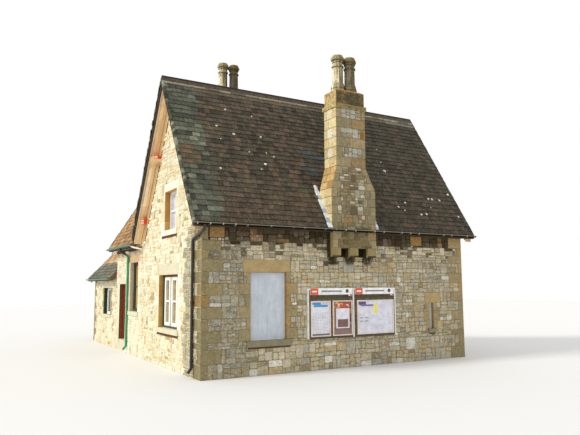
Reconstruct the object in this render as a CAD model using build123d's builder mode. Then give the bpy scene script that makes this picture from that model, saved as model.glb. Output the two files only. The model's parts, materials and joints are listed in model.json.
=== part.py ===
from build123d import *
import math
import os
from dataclasses import dataclass

# Railway station house in stone: a steep-roofed main block with a corbelled front chimney,
# a rear wing and a low range behind it.
# Millimetres. +X runs to the right along the front wall, +Y to the rear, +Z up.
# The origin is the middle of the main block's plan, at the lowest ground beside its walls.

# Main block
main_length = 9000.0
main_depth = 5200.0
wall = 460.0
pitch = 57.83
roof_thickness = 150.0
eave_height = 3885.0
eave_overhang = 290.0
eave_edge = 105.0
left_verge = 310.0
right_verge = 330.0
ridge_board = 30.0

# Rear wing and the low range beyond it
wing_width = 5400.0
wing_length = 3430.0
wing_eave_height = 3700.0
wing_verge = 220.0
low_width = 3200.0
low_length = 3870.0
low_wall = 350.0
low_pitch = 46.0
low_eave_height = 2620.0
low_eave_overhang = 270.0
low_verge = 200.0

# Floors
floor_height = 400.0
low_floor_height = 300.0
floor_board = 200.0
upper_floor_height = 3200.0
wing_upper_floor_height = 3450.0

# Openings along the front and rear walls, measured from the nearer gable
front_window_start = 1354.0
front_window_size = (1080.0, 1781.0)
front_window_foot = 886.0
slit_from_right = 1463.0
slit_size = (180.0, 800.0)
slit_foot = 950.0
rear_window_from_right = 2300.0

# Windows of the gable walls, measured from the front wall
lower_window_start = 1730.0
lower_window_size = (1698.0, 1538.0)
lower_window_foot = 1100.0
upper_window_start = 1941.0
upper_window_size = (1048.0, 1168.0)
upper_window_foot = 3917.0

# Windows of the wing, from the main block's rear face and from the wing's left face
wing_window_start = 530.0
wing_right_window_start = 800.0
wing_window_size = (1030.0, 1680.0)
wing_window_foot = 1450.0
wing_end_window_start = 3800.0
wing_end_window_width = 900.0
wing_end_upper_foot = 4700.0

# Windows of the low range, measured from the wing's end wall
low_window_start = 940.0
low_right_window_start = 1170.0
low_window_size = (1140.0, 1040.0)
low_window_foot = 1200.0

# Dressed stone round the openings
lintel_bed = 240.0
sill_depth = 200.0
sill_projection = 45.0
window_recess = 120.0
upper_window_recess = 150.0
board_recess = 100.0
board_thickness = 30.0

# Window joinery
frame_width = 60.0
frame_depth = 70.0
mullion_width = 60.0
rail_height = 45.0
glass_thickness = 6.0
glass_inset = 20.0

# Side door of the wing
door_width = 880.0
door_height = 1985.0
door_frame_width = 60.0
door_frame_depth = 95.0
door_recess = 150.0
door_thickness = 45.0
door_clearance = 8.0
door_stop = 18.0
knuckle_radius = 7.0
knuckle_height = 55.0
knuckle_offset = 9.0
knuckle_gap = 0.3
hinge_plate = 3.0
hinge_plate_width = 34.0
hinge_inset = 250.0

# Front chimney
breast_left = 3770.0
breast_right = 5300.0
breast_projection = 270.0
breast_bed = 340.0
breast_foot = 3350.0
breast_seat = 3600.0
shoulder_foot = 5040.0
shoulder_top = 5690.0
shaft_left = 3950.0
shaft_right = 4970.0
shaft_batter = 12.0
shaft_top = 7415.0
string_course = 120.0
string_projection = 50.0
plinth_height = 465.0
plinth_weathering = 60.0
plinth_weathering_inset = 80.0
corbel_foot = 3090.0
corbel_round = 75.0
corbel_width = 285.0
corbel_centres = (3912.0, 4515.0, 5158.0)

# Octagonal chimney pots, measured across the flats
pot_spacing = 430.0
pot_height = 1090.0
pot_base = 385.0
pot_shaft = 297.0
pot_cap = 385.0
pot_flue = 200.0
rear_pot_size = 0.98
rear_pot_height = 1070.0

# Rear chimney stack
rear_stack_from_left = 2880.0
rear_stack_width = 950.0
rear_stack_seat = 3500.0
rear_stack_top = 8900.0
rear_cap_height = 270.0
rear_cap_projection = 60.0
rear_plinth_projection = 20.0
rear_weathering_inset = 18.0

# Rainwater goods
gutter_radius = 55.0
gutter_metal = 7.0
gutter_drop = 15.0
gutter_gap = 10.0
pipe_radius = 38.0
pipe_standoff = 60.0
pipe_clip_width = 60.0
pipe_clip_height = 45.0
pipe_clip_inset = 150.0
front_pipe_start = 470.0
front_outlet_drop = 115.0
front_neck_drop = 315.0
front_pipe_bend = 60.0
wing_pipe_start = 1700.0
wing_outlet_drop = 90.0
wing_neck_drop = 280.0
wing_pipe_bend = 45.0
shoe_bend_height = 260.0
shoe_height = 130.0
shoe_reach = 90.0

# Roof trim
ridge_tile_reach = 110.0
ridge_tile_thickness = 25.0
soffit_board = 25.0
soffit_setback = 40.0
frieze_depth = 300.0
frieze_thickness = 30.0
purlin_depth = 165.0
purlin_setback = 20.0
purlin_starts = ((800.0, 6100.0), (2130.0, 4300.0))

# Notice boards on the front wall
notice_posts = (3087.0, 4606.0, 6129.0)
notice_foot = 846.0
notice_top = 2221.0
notice_depth = 60.0
notice_post_width = 50.0
notice_rail = 44.0
header_height = 200.0
header_thickness = 30.0
case_border = 35.0
case_pocket = 12.0

# Faces of the walls, worked out from the plan
left_x = -main_length / 2
right_x = main_length / 2
front_y = -main_depth / 2
rear_y = main_depth / 2
wing_right_x = left_x + wing_width
wing_end_y = rear_y + wing_length
low_right_x = left_x + low_width
low_end_y = wing_end_y + low_length
wing_ridge_x = left_x + wing_width / 2
low_ridge_x = left_x + low_width / 2

FACES = {
    "front": ("y", front_y, 1, wall),
    "rear": ("y", rear_y, -1, wall),
    "left": ("x", left_x, 1, wall),
    "right": ("x", right_x, -1, wall),
    "wing right": ("x", wing_right_x, -1, wall),
    "wing end": ("y", wing_end_y, -1, wall),
    "low left": ("x", left_x, 1, low_wall),
    "low right": ("x", low_right_x, -1, low_wall),
}


@dataclass
class GableRoof:
    """Two equal slopes; s is the level distance from the ridge line."""

    half_span: float
    overhang: float
    eave_z: float
    pitch: float

    @property
    def rise(self):
        return math.tan(math.radians(self.pitch))

    @property
    def reach(self):
        return self.half_span + self.overhang

    @property
    def ridge_z(self):
        return self.eave_z + self.rise * self.reach

    @property
    def soffit_z(self):
        return self.eave_z - eave_edge

    def below(self, s, depth=0.0):
        """Height at s of the plane that lies depth below the tiles, square to the slope."""
        return self.ridge_z - self.rise * abs(s) - depth / math.cos(math.radians(self.pitch))

    def under(self, s):
        return self.below(s, roof_thickness)

    def where(self, z, depth=0.0):
        """Level distance from the ridge at which that plane comes down to height z."""
        return (self.below(0, depth) - z) / self.rise

    def slope(self, side):
        """Section of one slope, with a level soffit at the eave."""
        top = side * ridge_board / 2
        edge = side * self.reach
        turn = side * self.where(self.soffit_z, roof_thickness)
        return [
            (top, self.below(top)),
            (edge, self.eave_z),
            (edge, self.soffit_z),
            (turn, self.soffit_z),
            (top, self.under(top)),
        ]

    def envelope(self):
        """Everything below the tiles."""
        return [
            (-self.reach, 0),
            (-self.reach, self.eave_z),
            (0, self.ridge_z),
            (self.reach, self.eave_z),
            (self.reach, 0),
        ]

    def gable(self):
        """Outline of a gable wall, up to the underside of the slopes."""
        half = self.half_span
        return [
            (-half, 0),
            (-half, self.under(half)),
            (0, self.under(0)),
            (half, self.under(half)),
            (half, 0),
        ]

    def band(self, near, far, end, foot):
        """Chevron between two depths below the tiles, out to s = end and down to z = foot."""
        lower = min(end, self.where(foot, far))
        upper = [(-end, self.below(end, near)), (0, self.below(0, near)), (end, self.below(end, near))]
        ends = [] if lower == end else [(end, foot)]
        inner = [
            (lower, self.below(lower, far)),
            (0, self.below(0, far)),
            (-lower, self.below(lower, far)),
        ]
        starts = [] if lower == end else [(-end, foot)]
        return upper + ends + inner + starts

    def ridge_tile(self):
        """Angled ridge tile bedded on both slopes."""
        lean = math.radians(self.pitch)
        reach = ridge_tile_reach
        foot = reach + ridge_tile_thickness * math.sin(lean)
        foot_z = self.below(reach) + ridge_tile_thickness * math.cos(lean)
        return [
            (-foot, foot_z),
            (0, self.ridge_z + ridge_tile_thickness / math.cos(lean)),
            (foot, foot_z),
            (reach, self.below(reach)),
            (0, self.ridge_z),
            (-reach, self.below(reach)),
        ]


@dataclass
class Dressing:
    """Heights of a lintel and a sill, and how far each runs past the jambs at its start and end."""

    lintel: float
    lintel_ends: tuple
    sill: float = 0.0
    sill_ends: tuple = (0.0, 0.0)


@dataclass
class Opening:
    """Window or doorway in one wall face; size is its width and height."""

    face: str
    start: float
    foot: float
    size: tuple
    dressing: Dressing
    recess: float = window_recess
    lights: int = 2
    rails: int = 0

    @property
    def end(self):
        return self.start + self.size[0]

    @property
    def head(self):
        return self.foot + self.size[1]

    @property
    def lintel_span(self):
        before, after = self.dressing.lintel_ends
        return (self.start - before, self.end + after)

    @property
    def lintel_heights(self):
        return (self.head, self.head + self.dressing.lintel)

    @property
    def sill_span(self):
        before, after = self.dressing.sill_ends
        return (self.start - before, self.end + after)

    @property
    def sill_heights(self):
        return (self.foot - self.dressing.sill, self.foot)


main_roof = GableRoof(main_depth / 2, eave_overhang, eave_height, pitch)
wing_roof = GableRoof(wing_width / 2, eave_overhang, wing_eave_height, pitch)
low_roof = GableRoof(low_width / 2, low_eave_overhang, low_eave_height, low_pitch)

front_dressing = Dressing(lintel=313, lintel_ends=(204, 116), sill=160, sill_ends=(104, 156))
slit_dressing = Dressing(lintel=300, lintel_ends=(140, 285), sill=120, sill_ends=(60, 60))
rear_dressing = Dressing(lintel=313, lintel_ends=(160, 160), sill=160, sill_ends=(130, 130))
lower_dressing = Dressing(lintel=302, lintel_ends=(134, 68), sill=140, sill_ends=(90, 90))
upper_dressing = Dressing(lintel=235, lintel_ends=(110, 110), sill=150, sill_ends=(90, 210))
wing_dressing = Dressing(lintel=235, lintel_ends=(120, 120), sill=140, sill_ends=(90, 90))
low_dressing = Dressing(lintel=180, lintel_ends=(110, 110), sill=110, sill_ends=(80, 80))
door_dressing = Dressing(lintel=235, lintel_ends=(150, 120))

front_window = Opening(
    "front", left_x + front_window_start, front_window_foot, front_window_size, front_dressing, board_recess
)
slit_window = Opening("front", right_x - slit_from_right, slit_foot, slit_size, slit_dressing, board_recess)
rear_window = Opening(
    "rear", right_x - rear_window_from_right, front_window_foot, front_window_size, rear_dressing, rails=1
)
gable_windows = []
for face in ("left", "right"):
    lower = Opening(face, front_y + lower_window_start, lower_window_foot, lower_window_size, lower_dressing)
    upper = Opening(
        face,
        front_y + upper_window_start,
        upper_window_foot,
        upper_window_size,
        upper_dressing,
        upper_window_recess,
        rails=1,
    )
    gable_windows += [lower, upper]
wing_tall = Opening("left", rear_y + wing_window_start, wing_window_foot, wing_window_size, wing_dressing)
wing_right_tall = Opening(
    "wing right", rear_y + wing_right_window_start, wing_window_foot, wing_window_size, wing_dressing
)
wing_end_lower = Opening(
    "wing end",
    left_x + wing_end_window_start,
    lower_window_foot,
    (wing_end_window_width, lower_window_size[1]),
    wing_dressing,
)
wing_end_upper = Opening(
    "wing end",
    wing_ridge_x - upper_window_size[0] / 2,
    wing_end_upper_foot,
    upper_window_size,
    wing_dressing,
    rails=1,
)
low_left_window = Opening(
    "low left", wing_end_y + low_window_start, low_window_foot, low_window_size, low_dressing
)
low_right_window = Opening(
    "low right", wing_end_y + low_right_window_start, low_window_foot, low_window_size, low_dressing
)
doorway = Opening(
    "left", wing_end_y - wall - door_width, floor_height, (door_width, door_height), door_dressing, door_recess
)

back_windows = [
    rear_window,
    wing_tall,
    wing_right_tall,
    wing_end_lower,
    wing_end_upper,
    low_left_window,
    low_right_window,
]


def block(x_span, y_span, z_span, mode=Mode.ADD):
    """Rectangular block between pairs of faces."""
    centre = tuple(sum(span) / 2 for span in (x_span, y_span, z_span))
    with Locations(centre):
        Box(*(abs(span[1] - span[0]) for span in (x_span, y_span, z_span)), mode=mode)


def at_face(face, along, depths):
    """X and Y spans of a stretch of wall, with depths measured inwards from its outer face."""
    axis, position, inward, thickness = FACES[face]
    across = tuple(sorted(position + inward * depth for depth in depths))
    return (along, across) if axis == "y" else (across, along)


def prism(plane, points, length, direction, mode=Mode.ADD):
    """Straight bar with the given section."""
    with BuildSketch(plane) as section:
        with BuildLine():
            Polyline(*points, close=True)
        make_face()
    extrude(section.sketch, amount=length, dir=direction, mode=mode)


def along_x(x, ridge_y=0.0):
    """Plane of a section of the main block: local x is the distance behind the ridge."""
    return Plane(origin=(x, ridge_y, 0), x_dir=(0, 1, 0), z_dir=(1, 0, 0))


def along_y(y, ridge_x):
    """Plane of a section of the wing or the low range."""
    return Plane(origin=(ridge_x, y, 0), x_dir=(1, 0, 0), z_dir=(0, -1, 0))


def bar_x(points, start, end, mode=Mode.ADD):
    prism(along_x(start), points, end - start, (1, 0, 0), mode)


def bar_y(points, start, end, ridge_x, mode=Mode.ADD):
    prism(along_y(start, ridge_x), points, end - start, (0, 1, 0), mode)


def cut_opening(opening):
    """Cuts the opening through its wall, with the beds of its lintel and sill."""
    thickness = FACES[opening.face][3]
    hole = at_face(opening.face, (opening.start, opening.end), (0, thickness))
    block(*hole, (opening.foot, opening.head), Mode.SUBTRACT)
    bed = at_face(opening.face, opening.lintel_span, (0, lintel_bed))
    block(*bed, opening.lintel_heights, Mode.SUBTRACT)
    if opening.dressing.sill:
        bed = at_face(opening.face, opening.sill_span, (0, sill_depth))
        block(*bed, opening.sill_heights, Mode.SUBTRACT)


def dress_opening(opening):
    """Lintel and projecting sill, as separate stones."""
    bed = at_face(opening.face, opening.lintel_span, (0, lintel_bed))
    block(*bed, opening.lintel_heights)
    if opening.dressing.sill:
        bed = at_face(opening.face, opening.sill_span, (-sill_projection, sill_depth))
        block(*bed, opening.sill_heights)


def window_frame(opening):
    """Timber frame with upright bars between its lights, and meeting rails across them."""
    depths = (opening.recess, opening.recess + frame_depth)
    block(*at_face(opening.face, (opening.start, opening.end), depths), (opening.foot, opening.head))
    clear = opening.size[0] - 2 * frame_width - (opening.lights - 1) * mullion_width
    light = clear / opening.lights
    pane = (opening.size[1] - 2 * frame_width - opening.rails * rail_height) / (opening.rails + 1)
    for number in range(opening.lights):
        start = opening.start + frame_width + number * (light + mullion_width)
        for row in range(opening.rails + 1):
            foot = opening.foot + frame_width + row * (pane + rail_height)
            hole = at_face(opening.face, (start, start + light), depths)
            block(*hole, (foot, foot + pane), Mode.SUBTRACT)


def window_glass(opening):
    """One sheet bedded on the back of the frame."""
    back = opening.recess + frame_depth
    along = (opening.start + glass_inset, opening.end - glass_inset)
    span = (opening.foot + glass_inset, opening.head - glass_inset)
    block(*at_face(opening.face, along, (back, back + glass_thickness)), span)


def save(builder, label):
    builder.part.label = label
    export_step(builder.part, f"parts/{label}.step")


os.makedirs("parts", exist_ok=True)

breast_x = (left_x + breast_left, left_x + breast_right)
chimney_y = (front_y - breast_projection, front_y + breast_bed)
rear_stack_x = (
    left_x + rear_stack_from_left - rear_stack_width / 2,
    left_x + rear_stack_from_left + rear_stack_width / 2,
)
rear_stack_y = (rear_y - wall, rear_y)
inner_left = left_x + wall
inner_right = right_x - wall
sky = main_roof.ridge_z + roof_thickness

# Walls of the main block

with BuildPart() as front_wall:
    outer = front_y
    inner = front_y + wall
    head = [(outer, 0), (inner, 0), (inner, main_roof.under(inner)), (outer, main_roof.under(outer))]
    bar_x(head, inner_left, inner_right)
    cut_opening(front_window)
    cut_opening(slit_window)
    block(breast_x, (front_y, chimney_y[1]), (breast_seat, sky), Mode.SUBTRACT)
save(front_wall, "front_wall")

with BuildPart() as rear_wall:
    outer = rear_y
    inner = rear_y - wall
    head = [(outer, 0), (inner, 0), (inner, main_roof.under(inner)), (outer, main_roof.under(outer))]
    bar_x(head, inner_left, inner_right)
    cut_opening(rear_window)
    block(rear_stack_x, rear_stack_y, (rear_stack_seat, sky), Mode.SUBTRACT)
save(rear_wall, "rear_wall")

with BuildPart() as left_gable_wall:
    bar_x(main_roof.gable(), left_x, inner_left)
    for opening in gable_windows:
        cut_opening(opening)
save(left_gable_wall, "left_gable_wall")

with BuildPart() as right_gable_wall:
    bar_x(main_roof.gable(), inner_right, right_x)
    for opening in gable_windows:
        cut_opening(opening)
save(right_gable_wall, "right_gable_wall")

# Walls of the wing, split beside and over its side doorway

wing_inner_end = wing_end_y - wall


def side_wall(roof, thickness, side, foot=0.0):
    """Section of a side wall, from its foot to the underside of the slope."""
    outer = side * roof.half_span
    inner = side * (roof.half_span - thickness)
    return [(outer, foot), (inner, foot), (inner, roof.under(inner)), (outer, roof.under(outer))]


with BuildPart() as wing_left_wall:
    bar_y(side_wall(wing_roof, wall, -1), rear_y, doorway.start, wing_ridge_x)
    cut_opening(wing_tall)
    cut_opening(doorway)
save(wing_left_wall, "wing_left_wall")

with BuildPart() as wing_wall_over_door:
    section = side_wall(wing_roof, wall, -1, doorway.head)
    bar_y(section, doorway.start, wing_inner_end, wing_ridge_x)
    cut_opening(doorway)
save(wing_wall_over_door, "wing_wall_over_door")

with BuildPart() as wing_right_wall:
    bar_y(side_wall(wing_roof, wall, 1), rear_y, wing_inner_end, wing_ridge_x)
    cut_opening(wing_right_tall)
save(wing_right_wall, "wing_right_wall")

with BuildPart() as wing_end_wall:
    bar_y(wing_roof.gable(), wing_inner_end, wing_end_y, wing_ridge_x)
    cut_opening(wing_end_lower)
    cut_opening(wing_end_upper)
    cut_opening(doorway)
save(wing_end_wall, "wing_end_wall")

# Walls of the low range

low_inner_end = low_end_y - low_wall

with BuildPart() as low_range_left_wall:
    bar_y(side_wall(low_roof, low_wall, -1), wing_end_y, low_inner_end, low_ridge_x)
    cut_opening(low_left_window)
save(low_range_left_wall, "low_range_left_wall")

with BuildPart() as low_range_right_wall:
    bar_y(side_wall(low_roof, low_wall, 1), wing_end_y, low_inner_end, low_ridge_x)
    cut_opening(low_right_window)
save(low_range_right_wall, "low_range_right_wall")

with BuildPart() as low_range_end_wall:
    bar_y(low_roof.gable(), low_inner_end, low_end_y, low_ridge_x)
save(low_range_end_wall, "low_range_end_wall")

# Lintels and sills

with BuildPart() as front_window_dressings:
    dress_opening(front_window)
    dress_opening(slit_window)
save(front_window_dressings, "front_window_dressings")

with BuildPart() as gable_window_dressings:
    for opening in gable_windows:
        dress_opening(opening)
save(gable_window_dressings, "gable_window_dressings")

with BuildPart() as rear_window_dressings:
    for opening in back_windows:
        dress_opening(opening)
save(rear_window_dressings, "rear_window_dressings")

with BuildPart() as door_dressings:
    dress_opening(doorway)
    threshold = at_face("left", (doorway.start, doorway.end), (0, wall))
    block(*threshold, (0, doorway.foot))
save(door_dressings, "door_dressings")

# Floors: stone on a solid bed below, boarded joists above

with BuildPart() as ground_floor:
    block((inner_left, inner_right), (front_y + wall, rear_y - wall), (0, floor_height))
save(ground_floor, "ground_floor")

with BuildPart() as rear_ground_floors:
    block((inner_left, wing_right_x - wall), (rear_y, wing_inner_end), (0, floor_height))
    block(
        (left_x + low_wall, low_right_x - low_wall), (wing_end_y, low_inner_end), (0, low_floor_height)
    )
save(rear_ground_floors, "rear_ground_floors")

with BuildPart() as upper_floor:
    span = (upper_floor_height - floor_board, upper_floor_height)
    block((inner_left, inner_right), (front_y + wall, rear_y - wall), span)
save(upper_floor, "upper_floor")

with BuildPart() as wing_upper_floor:
    span = (wing_upper_floor_height - floor_board, wing_upper_floor_height)
    block((inner_left, wing_right_x - wall), (rear_y, wing_inner_end), span)
save(wing_upper_floor, "wing_upper_floor")

# Roof slopes: the wing's slopes lie on the main block's rear slope and form two valleys

main_span = (left_x - left_verge, right_x + right_verge)
wing_span = (0.0, wing_end_y + wing_verge)
low_span = (wing_end_y, low_end_y + low_verge)

with BuildPart() as main_roof_front:
    bar_x(main_roof.slope(-1), *main_span)
    block(breast_x, (front_y - eave_overhang, chimney_y[1]), (0, sky), Mode.SUBTRACT)
save(main_roof_front, "main_roof_front")

with BuildPart() as main_roof_rear:
    bar_x(main_roof.slope(1), *main_span)
    bar_y(wing_roof.gable(), rear_y, wing_end_y, wing_ridge_x, Mode.SUBTRACT)
    block(rear_stack_x, rear_stack_y, (0, sky), Mode.SUBTRACT)
save(main_roof_rear, "main_roof_rear")

with BuildPart() as wing_roof_slopes:
    for side in (-1, 1):
        bar_y(wing_roof.slope(side), *wing_span, wing_ridge_x)
    bar_x(main_roof.envelope(), *main_span, Mode.SUBTRACT)
    bar_x(main_roof.ridge_tile(), *main_span, Mode.SUBTRACT)
    block(rear_stack_x, rear_stack_y, (0, sky), Mode.SUBTRACT)
save(wing_roof_slopes, "wing_roof_slopes")

with BuildPart() as low_range_roof_slopes:
    for side in (-1, 1):
        bar_y(low_roof.slope(side), *low_span, low_ridge_x)
save(low_range_roof_slopes, "low_range_roof_slopes")

with BuildPart() as ridge_tiles:
    main_tile = main_roof.ridge_tile()
    bar_x(main_tile, *main_span)
    bar_y(wing_roof.ridge_tile(), main_tile[2][0], rear_stack_y[0], wing_ridge_x)
    bar_y(wing_roof.ridge_tile(), rear_stack_y[1], wing_span[1], wing_ridge_x)
    bar_y(low_roof.ridge_tile(), *low_span, low_ridge_x)
save(ridge_tiles, "ridge_tiles")


below_boards = roof_thickness + soffit_board


def frieze_band(roof):
    return roof.band(below_boards, below_boards + frieze_depth, roof.half_span, roof.soffit_z)


def verge_boards(roof, bar, wall_face, edge, ridge):
    """Boarded soffit under a verge, and the sloping frieze below it on the gable wall."""
    outward = math.copysign(1, edge - wall_face)
    soffit_end = roof.where(roof.soffit_z, roof_thickness)
    soffit = roof.band(roof_thickness, below_boards, soffit_end, 0)
    bar(soffit, *sorted((wall_face, edge - outward * soffit_setback)), *ridge)
    bar(frieze_band(roof), *sorted((wall_face, wall_face + outward * frieze_thickness)), *ridge)


with BuildPart() as main_verge_boards:
    verge_boards(main_roof, bar_x, left_x, main_span[0], ())
    verge_boards(main_roof, bar_x, right_x, main_span[1], ())
save(main_verge_boards, "main_verge_boards")

with BuildPart() as rear_verge_boards:
    verge_boards(wing_roof, bar_y, wing_end_y, wing_span[1], (wing_ridge_x,))
    verge_boards(low_roof, bar_y, low_end_y, low_span[1], (low_ridge_x,))
save(rear_verge_boards, "rear_verge_boards")

with BuildPart() as purlin_ends:
    inset = soffit_setback + purlin_setback
    for inner, foot in purlin_starts:
        top = foot + purlin_depth
        for side in (-1, 1):
            section = [
                (side * inner, foot),
                (side * inner, top),
                (side * main_roof.where(top, below_boards), top),
                (side * main_roof.where(foot, below_boards), foot),
            ]
            bar_x(section, main_span[0] + inset, left_x)
            bar_x(section, right_x, main_span[1] - inset)
    bar_x(frieze_band(main_roof), left_x - frieze_thickness, left_x, Mode.SUBTRACT)
    bar_x(frieze_band(main_roof), right_x, right_x + frieze_thickness, Mode.SUBTRACT)
save(purlin_ends, "purlin_ends")

# Front chimney: corbels, shouldered stack, cap with string course, octagonal pots

with BuildPart() as front_chimney_corbels:
    face = front_y - breast_projection
    for centre in corbel_centres:
        start = left_x + centre - corbel_width / 2
        with BuildSketch(along_x(start)) as corbel:
            with BuildLine():
                Polyline(
                    (face + corbel_round, corbel_foot),
                    (front_y, corbel_foot),
                    (front_y, breast_foot),
                    (face, breast_foot),
                    (face, corbel_foot + corbel_round),
                )
                RadiusArc(
                    (face, corbel_foot + corbel_round), (face + corbel_round, corbel_foot), -corbel_round
                )
            make_face()
        extrude(corbel.sketch, amount=corbel_width, dir=(1, 0, 0))
save(front_chimney_corbels, "front_chimney_corbels")

with BuildPart() as front_chimney_stack:
    outline = [
        (breast_x[0], breast_foot),
        (breast_x[0], shoulder_foot),
        (left_x + shaft_left, shoulder_top),
        (left_x + shaft_left + shaft_batter, shaft_top),
        (left_x + shaft_right - shaft_batter, shaft_top),
        (left_x + shaft_right, shoulder_top),
        (breast_x[1], shoulder_foot),
        (breast_x[1], breast_foot),
    ]
    bar_y(outline, *chimney_y, 0)
    block(breast_x, (front_y, chimney_y[1]), (0, breast_seat), Mode.SUBTRACT)
save(front_chimney_stack, "front_chimney_stack")


def grown(span, by):
    return (span[0] - by, span[1] + by)


def chimney_cap(shaft_x, shaft_y, foot, projection, plinth, height, weathering):
    """String course under a plinth with a weathered top; plinth is its projection."""
    string = (foot, foot + string_course)
    block(grown(shaft_x, projection), grown(shaft_y, projection), string)
    plinth_x = grown(shaft_x, plinth)
    plinth_y = grown(shaft_y, plinth)
    top = foot + string_course + height
    block(plinth_x, plinth_y, (string[1], top - plinth_weathering))
    crown = top - plinth_weathering
    middle = (sum(plinth_x) / 2, sum(plinth_y) / 2)
    long_side = plinth_x[1] - plinth_x[0]
    short_side = plinth_y[1] - plinth_y[0]
    with BuildSketch(Plane((*middle, crown)), Plane((*middle, top))) as rings:
        Rectangle(long_side, short_side)
    lower, upper = rings.sketch.faces().sort_by(Axis.Z)
    by = (1 - 2 * weathering / long_side, 1 - 2 * weathering / short_side, 1)
    shrunk = scale(upper, by=by, mode=Mode.PRIVATE)
    loft([lower, shrunk])


shaft_x = (left_x + shaft_left + shaft_batter, left_x + shaft_right - shaft_batter)

with BuildPart() as front_chimney_cap:
    chimney_cap(
        shaft_x, chimney_y, shaft_top, string_projection, 0, plinth_height, plinth_weathering_inset
    )
save(front_chimney_cap, "front_chimney_cap")

with BuildPart() as rear_chimney_stack:
    block(rear_stack_x, rear_stack_y, (rear_stack_seat, rear_stack_top))
    cap_height = rear_cap_height - string_course
    chimney_cap(
        rear_stack_x,
        rear_stack_y,
        rear_stack_top,
        rear_cap_projection,
        rear_plinth_projection,
        cap_height,
        rear_weathering_inset,
    )
save(rear_chimney_stack, "rear_chimney_stack")


def octagon(centre, z, across_flats):
    with BuildSketch(Plane((*centre, z))) as ring:
        RegularPolygon(radius=across_flats / 2, side_count=8, major_radius=False, rotation=22.5)
    return ring.sketch.face()


def chimney_pot(centre, foot, height, size):
    """Octagonal stone pot: stepped base, tapering shaft, rings and flared cap over an open flue."""
    base = pot_base * size
    shaft = pot_shaft * size
    cap = pot_cap * size
    profile = [
        (0.0, base),
        (0.13, base),
        (0.16, base * 0.92),
        (0.18, shaft * 1.18),
        (0.205, shaft * 1.18),
        (0.225, shaft),
        (0.665, shaft * 0.97),
        (0.675, shaft * 1.17),
        (0.705, shaft * 1.17),
        (0.72, shaft * 0.95),
        (0.79, shaft * 0.95),
        (0.805, shaft * 1.1),
        (0.825, shaft * 1.1),
        (0.875, cap),
        (0.905, cap),
        (1.0, cap * 0.8),
    ]
    loft([octagon(centre, foot + level * height, width) for level, width in profile], ruled=True)
    with Locations((*centre, foot + height / 2)):
        Cylinder(pot_flue * size / 2, height, mode=Mode.SUBTRACT)


with BuildPart() as chimney_pots:
    front_middle = (sum(shaft_x) / 2, sum(chimney_y) / 2)
    rear_middle = (sum(rear_stack_x) / 2, sum(rear_stack_y) / 2)
    front_foot = shaft_top + string_course + plinth_height
    rear_foot = rear_stack_top + rear_cap_height
    for side in (-0.5, 0.5):
        centre = (front_middle[0] + side * pot_spacing, front_middle[1])
        chimney_pot(centre, front_foot, pot_height, 1.0)
        centre = (rear_middle[0] + side * pot_spacing * rear_pot_size, rear_middle[1])
        chimney_pot(centre, rear_foot, rear_pot_height, rear_pot_size)
save(chimney_pots, "chimney_pots")


def gutter(roof, plane, side, length, direction):
    """Half-round gutter with a flat back against the eave and closed ends."""
    back = roof.reach
    centre = side * (back + gutter_radius)
    lip = roof.eave_z - gutter_drop
    with BuildSketch(plane) as end:
        with Locations((centre, lip)):
            Circle(gutter_radius)
        with Locations((centre, lip + gutter_radius)):
            Rectangle(2 * gutter_radius, 2 * gutter_radius, mode=Mode.SUBTRACT)
        with Locations((side * (back + gutter_metal / 2), lip - gutter_radius / 2)):
            Rectangle(gutter_metal, gutter_radius)
    with BuildSketch(plane) as hollow:
        with Locations((centre, lip)):
            Circle(gutter_radius - gutter_metal)
        with Locations((centre, lip - gutter_radius)):
            Rectangle(2 * gutter_radius, 2 * gutter_radius, mode=Mode.INTERSECT)
    extrude(end.sketch, amount=length, dir=direction)
    inner = hollow.sketch.moved(Location(Vector(*direction) * gutter_metal))
    extrude(inner, amount=length - 2 * gutter_metal, dir=direction, mode=Mode.SUBTRACT)


with BuildPart() as main_gutters:
    front_start = main_span[0]
    gutter(main_roof, along_x(front_start), -1, main_span[1] - front_start, (1, 0, 0))
    rear_start = wing_right_x + eave_overhang + 2 * gutter_radius + gutter_gap
    gutter(main_roof, along_x(rear_start), 1, main_span[1] - rear_start, (1, 0, 0))
save(main_gutters, "main_gutters")

with BuildPart() as rear_gutters:
    wing_start = rear_y + eave_overhang + gutter_gap
    for side in (-1, 1):
        gutter(wing_roof, along_y(wing_start, wing_ridge_x), side, wing_span[1] - wing_start, (0, 1, 0))
        gutter(low_roof, along_y(wing_end_y, low_ridge_x), side, low_span[1] - wing_end_y, (0, 1, 0))
save(rear_gutters, "rear_gutters")


def downpipe(outlet, y, outlet_drop, neck_drop, bend):
    """Round pipe from a gutter outlet down the left wall to its shoe, with clips back to the wall."""
    x = left_x - pipe_standoff
    outlet_x, outlet_y, outlet_z = outlet
    neck_z = outlet_z - neck_drop
    route = [
        outlet,
        (outlet_x, outlet_y, outlet_z - outlet_drop),
        (x, y, neck_z),
        (x, y, shoe_bend_height),
        (x - shoe_reach, y, shoe_height),
    ]
    with BuildLine() as path:
        FilletPolyline(*route, radius=bend)
    with BuildSketch(Plane(origin=outlet, z_dir=(0, 0, -1))) as ring:
        Circle(pipe_radius)
    sweep(ring.sketch, path=path.line)
    top_clip = neck_z - pipe_clip_inset
    foot_clip = shoe_bend_height + pipe_clip_inset
    for z in (top_clip, (top_clip + foot_clip) / 2, foot_clip):
        half = (pipe_clip_width / 2, pipe_clip_height / 2)
        block((x, left_x), (y - half[0], y + half[0]), (z - half[1], z + half[1]))
        with Locations((x, y, z)):
            Cylinder(pipe_radius + gutter_metal, pipe_clip_height)


gutter_reach = eave_overhang + gutter_radius
outlet_depth = gutter_drop + gutter_radius

with BuildPart() as front_downpipe:
    outlet = (left_x - pipe_standoff, front_y - gutter_reach, eave_height - outlet_depth)
    pipe_y = front_y + front_pipe_start
    downpipe(outlet, pipe_y, front_outlet_drop, front_neck_drop, front_pipe_bend)
save(front_downpipe, "front_downpipe")

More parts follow.
